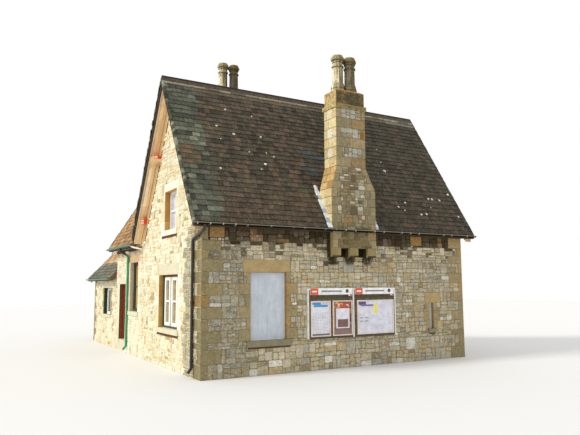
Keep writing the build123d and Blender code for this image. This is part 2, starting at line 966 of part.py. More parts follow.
with BuildPart() as wing_downpipe:
    pipe_y = rear_y + wing_pipe_start
    outlet = (left_x - gutter_reach, pipe_y, wing_eave_height - outlet_depth)
    downpipe(outlet, pipe_y, wing_outlet_drop, wing_neck_drop, wing_pipe_bend)
save(wing_downpipe, "wing_downpipe")

# Closed front openings and the windows

with BuildPart() as front_window_boards:
    for opening in (front_window, slit_window):
        depths = (opening.recess, opening.recess + board_thickness)
        along = (opening.start, opening.end)
        block(*at_face("front", along, depths), (opening.foot, opening.head))
save(front_window_boards, "front_window_boards")

with BuildPart() as gable_window_frames:
    for opening in gable_windows:
        window_frame(opening)
save(gable_window_frames, "gable_window_frames")

with BuildPart() as rear_window_frames:
    for opening in back_windows:
        window_frame(opening)
save(rear_window_frames, "rear_window_frames")

with BuildPart() as gable_window_glass:
    for opening in gable_windows:
        window_glass(opening)
save(gable_window_glass, "gable_window_glass")

with BuildPart() as rear_window_glass:
    for opening in back_windows:
        window_glass(opening)
save(rear_window_glass, "rear_window_glass")

# Side door: it is hung at its rear edge and opens inwards

door_inner = door_recess + door_frame_depth
leaf_depths = (door_inner - door_thickness, door_inner)
leaf_span = (
    doorway.start + door_frame_width + door_clearance,
    doorway.end - door_frame_width - door_clearance,
)
leaf_heights = (doorway.foot + door_clearance, doorway.head - door_frame_width - door_clearance)
hinge_x = left_x + door_inner + knuckle_offset
hinge_y = leaf_span[1] + door_clearance / 2
hinge_heights = (
    leaf_heights[0] + hinge_inset,
    sum(leaf_heights) / 2,
    leaf_heights[1] - hinge_inset,
)


def hinge_half(z_span, plate_span):
    """Knuckle on the hinge line with its plate on the inner face of the joinery."""
    middle = sum(z_span) / 2
    with Locations((hinge_x, hinge_y, middle)):
        Cylinder(knuckle_radius, z_span[1] - z_span[0])
    plate = (left_x + door_inner, left_x + door_inner + hinge_plate)
    block(plate, plate_span, z_span)


with BuildPart() as door_frame:
    depths = (door_recess, door_inner)
    block(*at_face("left", (doorway.start, doorway.end), depths), (doorway.foot, doorway.head))
    hole = grown((doorway.start, doorway.end), -door_frame_width)
    top = doorway.head - door_frame_width
    block(*at_face("left", hole, depths), (doorway.foot, top), Mode.SUBTRACT)
    stop_depths = (door_recess, leaf_depths[0] - door_clearance)
    block(*at_face("left", hole, stop_depths), (doorway.foot, top))
    hole = grown(hole, -door_stop)
    block(*at_face("left", hole, stop_depths), (doorway.foot, top - door_stop), Mode.SUBTRACT)
    for z in hinge_heights:
        hinge_half((z - knuckle_height, z), (hinge_y, hinge_y + hinge_plate_width))
save(door_frame, "door_frame")

with BuildPart() as door_leaf:
    block(*at_face("left", leaf_span, leaf_depths), leaf_heights)
    for z in hinge_heights:
        low = z + knuckle_gap
        hinge_half((low, low + knuckle_height), (hinge_y - hinge_plate_width, hinge_y))
save(door_leaf, "door_leaf")

# Notice boards: posts and rails, header boards, poster cases

post_x = [left_x + x for x in notice_posts]
half_post = notice_post_width / 2
header_foot = notice_top - notice_rail - header_height
rail_spans = (
    (notice_foot, notice_foot + notice_rail),
    (header_foot - notice_rail, header_foot),
    (notice_top - notice_rail, notice_top),
)

with BuildPart() as notice_board_frame:
    for x in post_x:
        block((x - half_post, x + half_post), (front_y - notice_depth, front_y), (notice_foot, notice_top))
    for span in rail_spans:
        block((post_x[0], post_x[-1]), (front_y - notice_depth, front_y), span)
save(notice_board_frame, "notice_board_frame")

with BuildPart() as notice_headers:
    for start, end in zip(post_x, post_x[1:]):
        bay = (start + half_post, end - half_post)
        block(bay, (front_y - header_thickness, front_y), (rail_spans[1][1], rail_spans[2][0]))
save(notice_headers, "notice_headers")

with BuildPart() as poster_cases:
    middle = (post_x[0] + post_x[1]) / 2
    bays = (
        (post_x[0] + half_post, middle - case_border / 4),
        (middle + case_border / 4, post_x[1] - half_post),
        (post_x[1] + half_post, post_x[2] - half_post),
    )
    heights = (rail_spans[0][1], rail_spans[1][0])
    for bay in bays:
        block(bay, (front_y - notice_depth, front_y), heights)
        pocket = (front_y - notice_depth, front_y - notice_depth + case_pocket)
        block(grown(bay, -case_border), pocket, grown(heights, -case_border), Mode.SUBTRACT)
save(poster_cases, "poster_cases")
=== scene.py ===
import bpy
import json
import math
import random
from itertools import pairwise, product
from mathutils import Matrix, Vector

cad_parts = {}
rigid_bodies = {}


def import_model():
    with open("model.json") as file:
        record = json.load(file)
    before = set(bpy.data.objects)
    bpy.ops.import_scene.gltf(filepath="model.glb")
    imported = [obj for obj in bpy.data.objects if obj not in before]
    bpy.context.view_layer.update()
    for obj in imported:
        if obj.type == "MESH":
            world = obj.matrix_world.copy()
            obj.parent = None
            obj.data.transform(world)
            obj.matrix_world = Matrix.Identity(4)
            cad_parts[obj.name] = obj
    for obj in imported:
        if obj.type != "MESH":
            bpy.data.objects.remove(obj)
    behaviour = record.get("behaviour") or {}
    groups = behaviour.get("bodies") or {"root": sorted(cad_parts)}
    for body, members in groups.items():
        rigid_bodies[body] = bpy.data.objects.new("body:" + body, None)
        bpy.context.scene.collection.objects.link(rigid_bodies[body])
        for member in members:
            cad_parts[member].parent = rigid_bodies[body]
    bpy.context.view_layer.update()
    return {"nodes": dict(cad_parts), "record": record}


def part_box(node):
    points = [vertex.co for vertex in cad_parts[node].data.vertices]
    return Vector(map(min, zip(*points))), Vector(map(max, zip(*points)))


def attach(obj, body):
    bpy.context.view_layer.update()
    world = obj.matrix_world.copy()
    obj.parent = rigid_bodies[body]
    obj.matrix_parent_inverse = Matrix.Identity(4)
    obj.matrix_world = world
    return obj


for old in list(bpy.data.objects):
    bpy.data.objects.remove(old)
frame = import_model()
nodes = frame["nodes"]


# Camera, solved from the photo's straight edges

image_width = 580
focal_px = 581.21
sensor_width = 36
yaw = math.radians(29.934)
tilt = math.radians(6.609)
roll = math.radians(-0.313)
camera_place = Vector((-9.838, -16.315, 2.321))

ahead = Vector((math.sin(yaw) * math.cos(tilt), math.cos(yaw) * math.cos(tilt), math.sin(tilt)))
level_right = Vector((math.cos(yaw), -math.sin(yaw), 0))
level_up = level_right.cross(ahead)
camera_right = math.cos(roll) * level_right + math.sin(roll) * level_up
camera_up = -math.sin(roll) * level_right + math.cos(roll) * level_up
camera = bpy.data.objects.new("camera", bpy.data.cameras.new("camera"))
camera.data.sensor_width = sensor_width
camera.data.lens = focal_px / image_width * sensor_width
camera.data.clip_end = 500
turn = Matrix((camera_right, camera_up, -ahead)).transposed()
camera.matrix_world = Matrix.Translation(camera_place) @ turn.to_4x4()
bpy.context.scene.collection.objects.link(camera)
bpy.context.scene.camera = camera


# Sizes read from the frame

def parts(name):
    """The boxes of a node's loose solids, as (lowest corner, highest corner)."""
    mesh = nodes[name].data
    spots = [tuple(round(c, 5) for c in v.co) for v in mesh.vertices]
    leader = {}

    def find(a):
        while leader.setdefault(a, a) != a:
            leader[a] = leader[leader[a]]
            a = leader[a]
        return a

    for face in mesh.polygons:
        ring = [find(spots[v]) for v in face.vertices]
        for other in ring[1:]:
            leader[find(other)] = find(ring[0])
    groups = {}
    for spot in spots:
        groups.setdefault(find(spot), []).append(spot)
    boxes = [(Vector(map(min, zip(*group))), Vector(map(max, zip(*group)))) for group in groups.values()]
    return sorted(boxes, key=lambda box: tuple(box[0]))


left_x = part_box("left_gable_wall")[0].x
right_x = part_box("right_gable_wall")[1].x
front_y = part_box("front_wall")[0].y
rear_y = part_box("rear_wall")[1].y
wing_right_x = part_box("wing_right_wall")[1].x
wing_end_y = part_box("wing_end_wall")[1].y
low_right_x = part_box("low_range_right_wall")[1].x
low_end_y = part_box("low_range_end_wall")[1].y
main_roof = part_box("main_roof_front")
wing_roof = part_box("wing_roof_slopes")
low_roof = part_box("low_range_roof_slopes")
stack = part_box("front_chimney_stack")
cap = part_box("front_chimney_cap")
rear_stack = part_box("rear_chimney_stack")
corbel_boxes = parts("front_chimney_corbels")
pots = parts("chimney_pots")

ridge_gap = 0.015
eave_edge = 0.105
roof_slab = 0.15
soffit_board = 0.025
frieze_depth = 0.30


class Slope:
    """A roof slope in cut, from its eave to its ridge: run is measured level from the ridge line."""

    def __init__(self, reach, roof):
        self.reach, self.eave = reach, roof[0].z + eave_edge
        pitch = math.atan2(roof[1].z - self.eave, reach - ridge_gap)
        self.sine, self.cosine = math.sin(pitch), math.cos(pitch)
        self.level = self.sine * reach + self.cosine * self.eave
        self.length = (reach - ridge_gap) / self.cosine

    def run_up(self, height):
        """How far up the slope a height is."""
        return (height - self.eave) / self.sine


wing_ridge_x = (wing_roof[0].x + wing_roof[1].x) / 2
low_ridge_x = (low_roof[0].x + low_roof[1].x) / 2
main_slope = Slope(-main_roof[0].y, main_roof)
wing_slope = Slope(wing_ridge_x - wing_roof[0].x, wing_roof)
low_slope = Slope(low_ridge_x - low_roof[0].x, low_roof)


# Colours

def srgb(red, green, blue):
    """An 8 bit colour as linear values."""
    return tuple(c / 255 / 12.92 if c <= 10 else ((c / 255 + 0.055) / 1.055) ** 2.4 for c in (red, green, blue))


def mixed(a, b, share):
    return tuple(p + (q - p) * share for p, q in zip(a, b))


def scaled(a, by):
    return tuple(p * by for p in a)


def colours(*rows):
    """Colours to pick from, out of rows of share, red, green and blue."""
    return [(share, srgb(*colour)) for share, *colour in rows]


# Materials

class Term:
    """A number that nodes work out. It takes +, -, *, < and > like a number, and | is the larger of two."""

    def __init__(self, shader, socket):
        self.shader, self.socket = shader, socket

    def sum(self, kind, other=0.0):
        made = self.shader.node("ShaderNodeMath", [self, other], operation=kind)
        return Term(self.shader, made.outputs[0])

    def __add__(self, other):
        return self.sum("ADD", other)

    def __sub__(self, other):
        return self.sum("SUBTRACT", other)

    def __mul__(self, other):
        return self.sum("MULTIPLY", other)

    def __lt__(self, other):
        return self.sum("LESS_THAN", other)

    def __gt__(self, other):
        return self.sum("GREATER_THAN", other)

    def __or__(self, other):
        return self.sum("MAXIMUM", other)

    def __abs__(self):
        return self.sum("ABSOLUTE")

    def to_and_fro(self, length):
        return self.sum("PINGPONG", length)

    def mask(self, low, high, least=0.0, most=1.0):
        """A value that goes from least to most while this one goes from low to high."""
        made = self.shader.node("ShaderNodeMapRange", [self, low, high, least, most])
        return Term(self.shader, made.outputs["Result"])


class Shader:
    """A node material. Its steps change the colour one after another, and bump or done gives the material.
    Without a base colour it starts from each block's own tint. Paints are 8 bit colours or sockets."""

    def __init__(self, name, rough=0.9, specular=0.2, base=None):
        self.material = bpy.data.materials.new(name)
        self.material.use_nodes = True
        self.tree = self.material.node_tree
        self.bsdf = self.tree.nodes["Principled BSDF"]
        self.bsdf.inputs["Roughness"].default_value = rough
        self.bsdf.inputs["Specular IOR Level"].default_value = specular
        self.place = self.node("ShaderNodeTexCoord").outputs["Object"]
        self.x, self.y, self.z = self.split(self.place)
        normal = self.node("ShaderNodeNewGeometry").outputs["True Normal"]
        self.facing_x, self.facing_y, self.facing_z = self.split(normal)
        self.colour = base or self.node("ShaderNodeAttribute", attribute_name="tint").outputs["Color"]

    def node(self, kind, values=(), **settings):
        """A new node with these settings and the values or sockets for its first inputs."""
        made = self.tree.nodes.new(kind)
        for key, value in settings.items():
            setattr(made, key, value)
        for socket, value in zip(made.inputs, values):
            self.feed(socket, value)
        return made

    def feed(self, socket, value):
        value = value.socket if isinstance(value, Term) else value
        if isinstance(value, bpy.types.NodeSocket):
            self.tree.links.new(value, socket)
        elif socket.type == "RGBA":
            socket.default_value = (*srgb(*value), 1.0)
        else:
            socket.default_value = value

    def split(self, socket):
        return [Term(self, part) for part in self.node("ShaderNodeSeparateXYZ", [socket]).outputs]

    def stretched(self, x, y, z):
        """The place with each axis stretched by its own factor."""
        return self.node("ShaderNodeVectorMath", [self.place, (x, y, z)], operation="MULTIPLY").outputs[0]

    def noise(self, size, detail=4.0, rough=0.7, place=None):
        made = self.node("ShaderNodeTexNoise")
        settings = {"Vector": place or self.place, "Scale": 1 / size, "Detail": detail, "Roughness": rough}
        for name, value in settings.items():
            self.feed(made.inputs[name], value)
        return Term(self, made.outputs["Fac"])

    def brightness(self):
        return Term(self, self.node("ShaderNodeRGBToBW", [self.colour]).outputs[0])

    def mix(self, share, a, b, blend="MIX"):
        made = self.node("ShaderNodeMix", data_type="RGBA", blend_type=blend)
        for number, value in ((0, share), (6, a), (7, b)):
            self.feed(made.inputs[number], value)
        return made.outputs[2]

    def over(self, share, paint):
        """Lays paint over the colour, by this share."""
        self.colour = self.mix(share, self.colour, paint)
        return self

    def vary(self, size, amount, detail=4, rough=0.7, place=None):
        """Makes the colour darker and lighter by a noise, by this share at most."""
        shade = self.noise(size, detail, rough, place).mask(0.32, 0.68, 1 - amount, 1 + amount)
        self.colour = self.mix(1.0, self.colour, shade, "MULTIPLY")
        return self

    def fleck(self, size, low, high, strength, paint, place=None):
        """Blotches of paint where a noise rises from low to high."""
        return self.over(self.noise(size, place=place).mask(low, high) * strength, paint)

    def bump(self, size, distance, strength, detail=5, rough=0.7, place=None):
        made = self.node("ShaderNodeBump")
        height = self.noise(size, detail, rough, place)
        for name, value in (("Strength", strength), ("Distance", distance), ("Height", height)):
            self.feed(made.inputs[name], value)
        self.feed(self.bsdf.inputs["Normal"], made.outputs["Normal"])
        return self.done()

    def done(self):
        self.feed(self.bsdf.inputs["Base Color"], self.colour)
        return self.material


def corbel_shade_mask(made):
    """1 in the patches under the corbels where shade is painted on the wall, else 0."""
    stains = 0
    for low, high in corbel_boxes:
        distance = abs(made.x - (low.x + high.x) / 2)
        stains = (distance + made.noise(0.12) * 0.2).mask(0.27, 0.2) | stains
    return stains * made.z.mask(2.83, 2.93)


def stone_shader(name, grain=0.26, patch=0.1, dirt=0.45, lime=0.5, soil=(92, 80, 56), shade_under_corbels=False):
    """Weathered stone in each block's own tint, with grain, patches, dirt and lime."""
    made = Shader(name, 0.92, 0.15)
    made.vary(0.6, patch, 3, 0.55).vary(0.11, grain * 0.7).vary(0.045, grain, 4, 0.75)
    made.fleck(0.075, 0.54, 0.64, dirt, soil)
    made.fleck(0.05, 0.55, 0.63, made.brightness().mask(0.06, 0.2) * lime, (220, 214, 196))
    # Painted shade on the wall under the corbels
    if shade_under_corbels:
        made.over(corbel_shade_mask(made) * 0.85, (62, 50, 32))
    return made.bump(0.03, 0.01, 1.0, 5, 0.75)


def mortar_shader():
    """Pointing: brown grey, sandy with painted sunlight on the sunny left side, painted shade under the
    corbels, and damp stain with painted shade under the gutter.
    """
    made = Shader("lime_mortar", 0.95, 0.1, (150, 138, 108))
    corbel_middle = (stack[0].x + stack[1].x) / 2
    under = (abs(made.x - corbel_middle) < 0.86) * made.z.mask(2.6, 2.85) * made.noise(0.16).mask(0.42, 0.56)
    # Painted sunlight on the faces towards the sunny left side
    made.over(made.facing_x.mask(-0.5, -0.8), (238, 224, 184))
    # Painted shade under the corbels, and damp staining with painted shade in the band under the gutter
    made.over(made.facing_y.mask(-0.5, -0.8) * (made.z.mask(3.4, 3.5) | under), (58, 44, 26))
    return made.vary(0.05, 0.2).vary(0.4, 0.1, 3, 0.55).bump(0.03, 0.006, 0.9, 5, 0.75)


def dressing_shader(name, base):
    made = Shader(name, 0.9, 0.2, base)
    made.vary(0.25, 0.14, 4, 0.55).vary(0.04, 0.14).fleck(0.1, 0.56, 0.72, 0.4, (92, 78, 50))
    return made.bump(0.03, 0.005, 0.8)


def corbel_shader():
    """Olive fronts; the sides carry painted shadow where the chimney breast shades them and painted sunlight on
    their front edges, and the undersides painted shade.
    """
    made = Shader("corbel_stone", 0.9, 0.2, (146, 130, 88))
    behind = made.y.mask(stack[0].y + 0.09, stack[0].y + 0.11)
    # Painted shadow on the rear of each side and painted sunlight on its front edge
    made.over(abs(made.facing_x).mask(0.4, 0.6), made.mix(behind, (176, 162, 104), (52, 42, 27)))
    # Painted shade on the undersides
    made.over(made.facing_z.mask(-0.2, -0.5), (58, 48, 32)).vary(0.2, 0.14, 4, 0.55).vary(0.04, 0.2)
    made.over(made.noise(0.02, 3, 0.6).mask(0.3, 0.7) * 0.12, (196, 182, 130))
    return made.bump(0.03, 0.005, 0.8)


def sided_dressing_shader():
    """Cream with painted sunlight on the sunny left side, pinker with the eave's painted shade high up on the
    wing, and ochre elsewhere.
    """
    made = Shader("sided_dressing", 0.9, 0.2, (168, 148, 104))
    pale = made.mix(made.z.mask(3.4, 3.5), (217, 211, 182), (238, 233, 212))
    # Painted shade of the wing's eave on its window lintel
    pale = made.mix(made.y.mask(2.7, 2.8) * made.z.mask(3.1, 3.12), pale, (206, 172, 134))
    # Painted sunlight makes the dressings on the sunny left side cream
    made.over(made.x.mask(-4.2, -4.3), pale).vary(0.2, 0.06, 4, 0.55).vary(0.045, 0.1)
    return made.bump(0.03, 0.005, 0.8)


def front_dressing_shader():
    """Ochre lintels over greyer, darker sills."""
    made = Shader("front_dressing", 0.9, 0.2, (180, 157, 110))
    made.over(made.z.mask(1.2, 1.1), (138, 132, 108)).vary(0.2, 0.12, 4, 0.55).vary(0.035, 0.16)
    return made.fleck(0.1, 0.58, 0.72, 0.45, (124, 96, 58)).bump(0.03, 0.005, 0.8)


def cap_shader():
    """Sunny yellow sides, a stained dark front and orange lichen along the top."""
    made = Shader("chimney_cap_stone", 0.92, 0.15, (212, 187, 130))
    string_top = cap[0].z + 0.12
    string = made.z.mask(string_top + 0.005, string_top - 0.005)
    made.over(made.facing_y.mask(-0.4, -0.8), made.mix(string, (88, 79, 56), (146, 128, 88)))
    made.fleck(0.2, 0.5, 0.62, 0.55, (166, 138, 88)).vary(0.16, 0.2, 4, 0.6).vary(0.05, 0.3)
    made.fleck(0.1, 0.5, 0.62, 0.5, (62, 52, 36)).fleck(0.045, 0.56, 0.64, 0.5, (176, 160, 122))
    made.fleck(0.05, 0.56, 0.64, 0.5, (44, 38, 26))
    edge = made.z.mask(cap[1].z - 0.14, cap[1].z - 0.05)
    made.over(edge * made.noise(0.09).mask(0.42, 0.6) * 0.8, (178, 128, 52))
    return made.bump(0.04, 0.01, 0.9, 5, 0.75)


def pot_shader():
    """Cream with painted sunlight towards the sun side, grey brown lichen and painted shade on the other, and
    lichen round the rim.
    """
    made = Shader("chimney_pot_stone", 0.92, 0.15, (248, 238, 204))
    # Painted sunlight: the faces that look straight at the sun stay the palest
    made.over(made.facing_x.mask(-0.9, -0.45), (186, 170, 128))
    streaks = made.noise(0.06, 3, 0.6, made.stretched(1, 1, 0.12)).mask(0.47, 0.53)
    # Lichen streaks, then lichen with painted shade on the faces turned from the sun
    made.over(streaks * 0.6, (96, 86, 54)).over(made.facing_x.mask(-0.15, 0.6), (54, 48, 36))
    rear_split, stacks_split, front_split = [(a[1].x + b[0].x) / 2 for a, b in pairwise(pots)]
    shaded_rear = (made.x < stacks_split) * (made.x > rear_split)
    # Painted shade over the right pot of each stack
    made.over(shaded_rear * 0.8 | (made.x > front_split) * 0.62, (76, 70, 46))
    # Painted shade under the mouldings
    made.over(made.facing_z.mask(-0.1, -0.45) * 0.75, (70, 60, 38))
    rims = (abs(made.z - pots[0][1].z) < 0.16) | (abs(made.z - pots[2][1].z) < 0.16)
    made.over(rims * made.noise(0.07).mask(0.4, 0.54) * 0.8, (122, 110, 52)).vary(0.09, 0.22)
    made.fleck(0.1, 0.52, 0.62, 0.5, (96, 82, 50)).fleck(0.045, 0.6, 0.68, 0.4, (226, 222, 200))
    return made.bump(0.03, 0.006, 0.9, 5, 0.75)


def tile_shader():
    """Roof tiles with moss, fine grit and pale streaks that run down the slope."""
    made = Shader("roof_covering", 0.88, 0.2)
    made.vary(0.9, 0.12, 3, 0.55).vary(0.12, 0.24).vary(0.045, 0.34, 4, 0.75)
    made.fleck(0.22, 0.58, 0.7, 0.3, (92, 92, 62))
    made.fleck(0.5, 0.58, 0.68, 0.25, (140, 128, 108), made.stretched(9, 1, 1))
    return made.fleck(0.045, 0.59, 0.66, 0.4, (156, 150, 130)).bump(0.02, 0.003, 0.8, 4)


def bed_shader(name, top, soffit):
    """The roof slab: dark under the tiles, with its own colour on the faces that look down."""
    made = Shader(name, 0.9, 0.15, top)
    made.over(made.facing_z.mask(-0.3, -0.6), soffit).vary(0.15, 0.16, 4, 0.55).vary(0.03, 0.16)
    return made.bump(0.03, 0.004, 0.8, 4, 0.55)


def timber_shader(name, base, along, dirt=0.3):
    """Painted wood whose grain runs along one axis: x, y or z."""
    made = Shader(name, 0.6, 0.35, base)
    grain = made.stretched(*(1 if letter == along else 14 for letter in "xyz"))
    made.vary(0.25, 0.10, 4, 0.6, grain).vary(0.2, 0.08, 3, 0.55).fleck(0.07, 0.6, 0.75, dirt, (110, 96, 72))
    return made.bump(0.25, 0.002, 0.5, 4, 0.6, grain)


def metal_shader(name, base=None, rough=0.45, rust=0.25):
    made = Shader(name, rough, 0.5, base)
    made.vary(0.15, 0.12, 3, 0.55).fleck(0.06, 0.62, 0.74, rust, (104, 84, 60))
    return made.bump(0.01, 0.001, 0.4, 3, 0.55)


def lead_shader():
    return Shader("lead_flashing", 0.5, 0.5).vary(0.08, 0.14, 4, 0.55).bump(0.05, 0.004, 0.6, 3, 0.55)


def glass_shader():
    """Panes coloured with painted reflections: olive and brown low down, green at the rear and pale grey high
    up.
    """
    made = Shader("glass_with_painted_reflections", 0.2, 0.06, (150, 128, 52))
    wave = made.noise(0.35, 3, 0.55).mask(0.4, 0.6)
    made.over(wave, (188, 166, 88))
    made.over(made.y.mask(2.0, 2.1), made.mix(made.y.mask(3.8, 3.84), (52, 66, 38), (212, 160, 80)))
    made.over(made.y.mask(6.1, 6.2), (26, 62, 42))
    made.over(made.z.mask(3.4, 3.5), made.mix(wave, (192, 186, 194), (216, 210, 218)))
    return made.bump(0.2, 0.002, 0.3, 2, 0.55)


def ridge_shader():
    """Brown ridge tiles with a dark joint every 0.45 m and a dark crest."""
    made = Shader("ridge_clay", 0.85, 0.2, (84, 72, 60))
    ridge_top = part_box("ridge_tiles")[1].z
    made.vary(0.12, 0.25).fleck(0.06, 0.58, 0.68, 0.5, (130, 122, 100))
    made.over(made.x.to_and_fro(0.225) < 0.012, (44, 38, 32))
    made.over(made.z.mask(ridge_top - 0.09, ridge_top - 0.06), (46, 41, 35))
    return made.bump(0.03, 0.004, 0.8, 4, 0.55)


def purlin_shader():
    """Rear purlins have red and white sides; the rest is painted like the planks, with painted shade darkening
    the sunlit end faces.
    """
    made = Shader("purlin_red", 0.6, 0.3, (222, 70, 36))
    upper_foot = 6.178
    not_rims = (made.z - upper_foot).to_and_fro(0.0435) > 0.012
    made.over((made.x < -4.64) * (made.x > -4.735) * not_rims, (246, 226, 210))
    end = abs(made.facing_x).mask(0.4, 0.6)
    front_side = made.y < 0.0
    lower_half = made.z.mask(5.9, 6.0) * made.z.mask(upper_foot - 0.003, upper_foot - 0.013)
    # Painted shade: the sunlit end faces are darker than the others
    cream = made.mix(end, (238, 208, 160), (196, 158, 112))
    made.over(end | front_side | lower_half, made.mix(front_side * (made.x < 0.0), cream, (236, 224, 188)))
    return made.vary(0.08, 0.12, 4, 0.55).done()


def gutter_shader():
    """Black gutter with a painted highlight along its rim and pale marks at its brackets."""
    made = Shader("gutter_iron", 0.8, 0.08, (18, 16, 13))
    made.vary(0.15, 0.12, 3, 0.55).fleck(0.06, 0.62, 0.74, 0.25, (104, 84, 60))
    rim_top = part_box("main_gutters")[1].z
    # Painted highlight along the rim
    made.over(made.z.mask(rim_top - 0.024, rim_top - 0.018) * 0.8, (150, 142, 122))
    marks = (made.x.to_and_fro(0.17) < 0.016) * made.noise(0.5, 2, 0.55).mask(0.45, 0.5)
    made.over(marks * made.facing_y.mask(-0.2, -0.4), (180, 176, 164))
    return made.bump(0.01, 0.001, 0.4, 3, 0.55)


def wing_pipe_shader():
    """Green pipe, painted dark brown as the eave's shade where it passes under the eave."""
    made = Shader("wing_pipe_paint", 0.5, 0.4, (48, 150, 96))
    # Painted shade of the eave on the pipe's neck
    made.over(made.x.mask(left_x - 0.14, left_x - 0.16), (66, 40, 28)).vary(0.1, 0.15, 4, 0.55)
    return made.bump(0.01, 0.001, 0.4, 3, 0.55)


def frame_shader(name, dark_share):
    """Dark green frames, brown above 2.56 m, where dark_share is 1, and white ones elsewhere; the brown paints
    the shade on the lower gable window's head.
    """
    made = Shader(name, 0.6, 0.3, (238, 238, 232))
    # Above 2.56 m the dark frames are brown: painted shade on the lower gable window's head
    made.over(dark_share(made), made.mix(made.z.mask(2.56, 2.57), (56, 84, 58), (84, 56, 34)))
    return made.vary(0.1, 0.1, 4, 0.55).done()


def notice_frame_shader():
    """White posts and top rail; the rails in the shadow below are dark."""
    made = Shader("notice_posts", 0.5, 0.4, (72, 64, 50))
    white = made.z.mask(2.03, 2.04)
    for low in (headers[0][0] - 0.05, headers[0][2], headers[1][2]):
        white = (made.x > low - 0.001) * (made.x < low + 0.051) | white
    return made.over(white, (224, 224, 220)).vary(0.1, 0.12, 4, 0.55).done()


def shadow_shader():
    """Boards in the shadow of the notice boards, blotched like the stones beside them."""
    made = Shader("notice_shadow", 0.85, 0.15, (104, 93, 68)).vary(0.09, 0.35)
    return made.fleck(0.1, 0.52, 0.58, 0.6, (62, 52, 36)).fleck(0.08, 0.56, 0.62, 0.5, (150, 140, 112)).done()


stone = stone_shader("rubble_stone", lime=0.66)
front_stone = stone_shader("front_rubble_stone", lime=0.66, shade_under_corbels=True)
cream_stone = stone_shader("sunny_rubble_stone", 0.16, 0.06, 0.75, 0.5, (196, 170, 116))
dressed = stone_shader("dressed_stone_blocks", grain=0.2, dirt=0.35, lime=0.2)
cream_dressed = stone_shader("sunny_dressed_blocks", 0.08, 0.05, 0.1, 0.1)
pot_stone = pot_shader()
paint = timber_shader("painted_boards", None, "z", 0.2)
sheet = metal_shader("poster_print", None, 0.35, 0.04)
iron = metal_shader("painted_iron", None, 0.5, 0.15)
roofing = tile_shader()


# Meshes

def around(items):
    """Each item with the one after it, and the last one with the first."""
    return zip(items, items[1:] + items[:1])


class Face:
    """A flat face: u and v run along it and w stands out from it."""

    def __init__(self, origin, u, v=(0, 0, 1)):
        self.origin = Vector(origin)
        self.u, self.v = Vector(u).normalized(), Vector(v).normalized()
        self.out = self.u.cross(self.v)

    def at(self, u, v, w=0.0):
        return self.origin + self.u * u + self.v * v + self.out * w

    def span(self, low, high):
        """A box's rectangle on this face, as (u0, v0, u1, v1)."""
        corners = [Vector(corner) - self.origin for corner in product(*zip(low, high))]
        us = [corner.dot(self.u) for corner in corners]
        vs = [corner.dot(self.v) for corner in corners]
        return (min(us), min(vs), max(us), max(vs))


def rectangle(area):
    u0, v0, u1, v1 = area
    return [(u0, v0), (u1, v0), (u1, v1), (u0, v1)]


def circle(centre, size, count, start=0.0):
    """Points round a centre. start turns them by a share of a step."""
    angles = [math.tau * (i + start) / count for i in range(count)]
    return [(centre[0] + size * math.cos(angle), centre[1] + size * math.sin(angle)) for angle in angles]


def clip(outline, lines):
    """The part of a convex outline on the inward side of each line, given as (point, inward direction)."""
    for point, inward in lines:
        depths = [(u - point[0]) * inward[0] + (v - point[1]) * inward[1] for u, v in outline]
        kept = []
        for (here, a), (there, b) in around(list(zip(outline, depths))):
            if a >= 0:
                kept.append(here)
            if a * b < 0:
                share = a / (a - b)
                kept.append(tuple(p + (q - p) * share for p, q in zip(here, there)))
        outline = kept
    return outline


def surface(outline):
    return sum(x * ny - nx * y for (x, y), (nx, ny) in around(outline)) / 2


def inset(outline, by):
    moved = []
    for (ax, ay), (x, y), (bx, by_) in zip(outline[-1:] + outline[:-1], outline, outline[1:] + outline[:1]):
        one = math.hypot(x - ax, y - ay) or 1e-9
        two = math.hypot(bx - x, by_ - y) or 1e-9
        nx1, ny1 = -(y - ay) / one, (x - ax) / one
        nx2, ny2 = -(by_ - y) / two, (bx - x) / two
        k = max(1 + nx1 * nx2 + ny1 * ny2, 0.5)
        moved.append((x + (nx1 + nx2) * by / k, y + (ny1 + ny2) * by / k))
    return moved


def chipped(outline, rng, most):
    """The outline with its corners knocked off."""
    corners = []
    for i, (x, y) in enumerate(outline):
        for ox, oy in (outline[i - 1], outline[(i + 1) % len(outline)]):
            side = math.hypot(ox - x, oy - y)
            if side < 1e-6:
                continue
            share = min(rng.uniform(0.3, 1.0) * most / side, 0.3)
            corners.append((x + (ox - x) * share, y + (oy - y) * share))
    return corners


def without(area, holes):
    """The rectangles left of an area once holes are cut out of it."""
    if not holes:
        return [area]
    u0, v0, u1, v1 = area
    a0, b0, a1, b1 = holes[0]
    if a1 <= u0 or a0 >= u1 or b1 <= v0 or b0 >= v1:
        return without(area, holes[1:])
    sides = ((u0, v0, a0, v1), (a1, v0, u1, v1),
             (max(u0, a0), v0, min(u1, a1), b0), (max(u0, a0), b1, min(u1, a1), v1))
    rest = [side for side, left in zip(sides, (a0 > u0, a1 < u1, b0 > v0, b1 < v1)) if left]
    return [piece for side in rest for piece in without(side, holes[1:])]


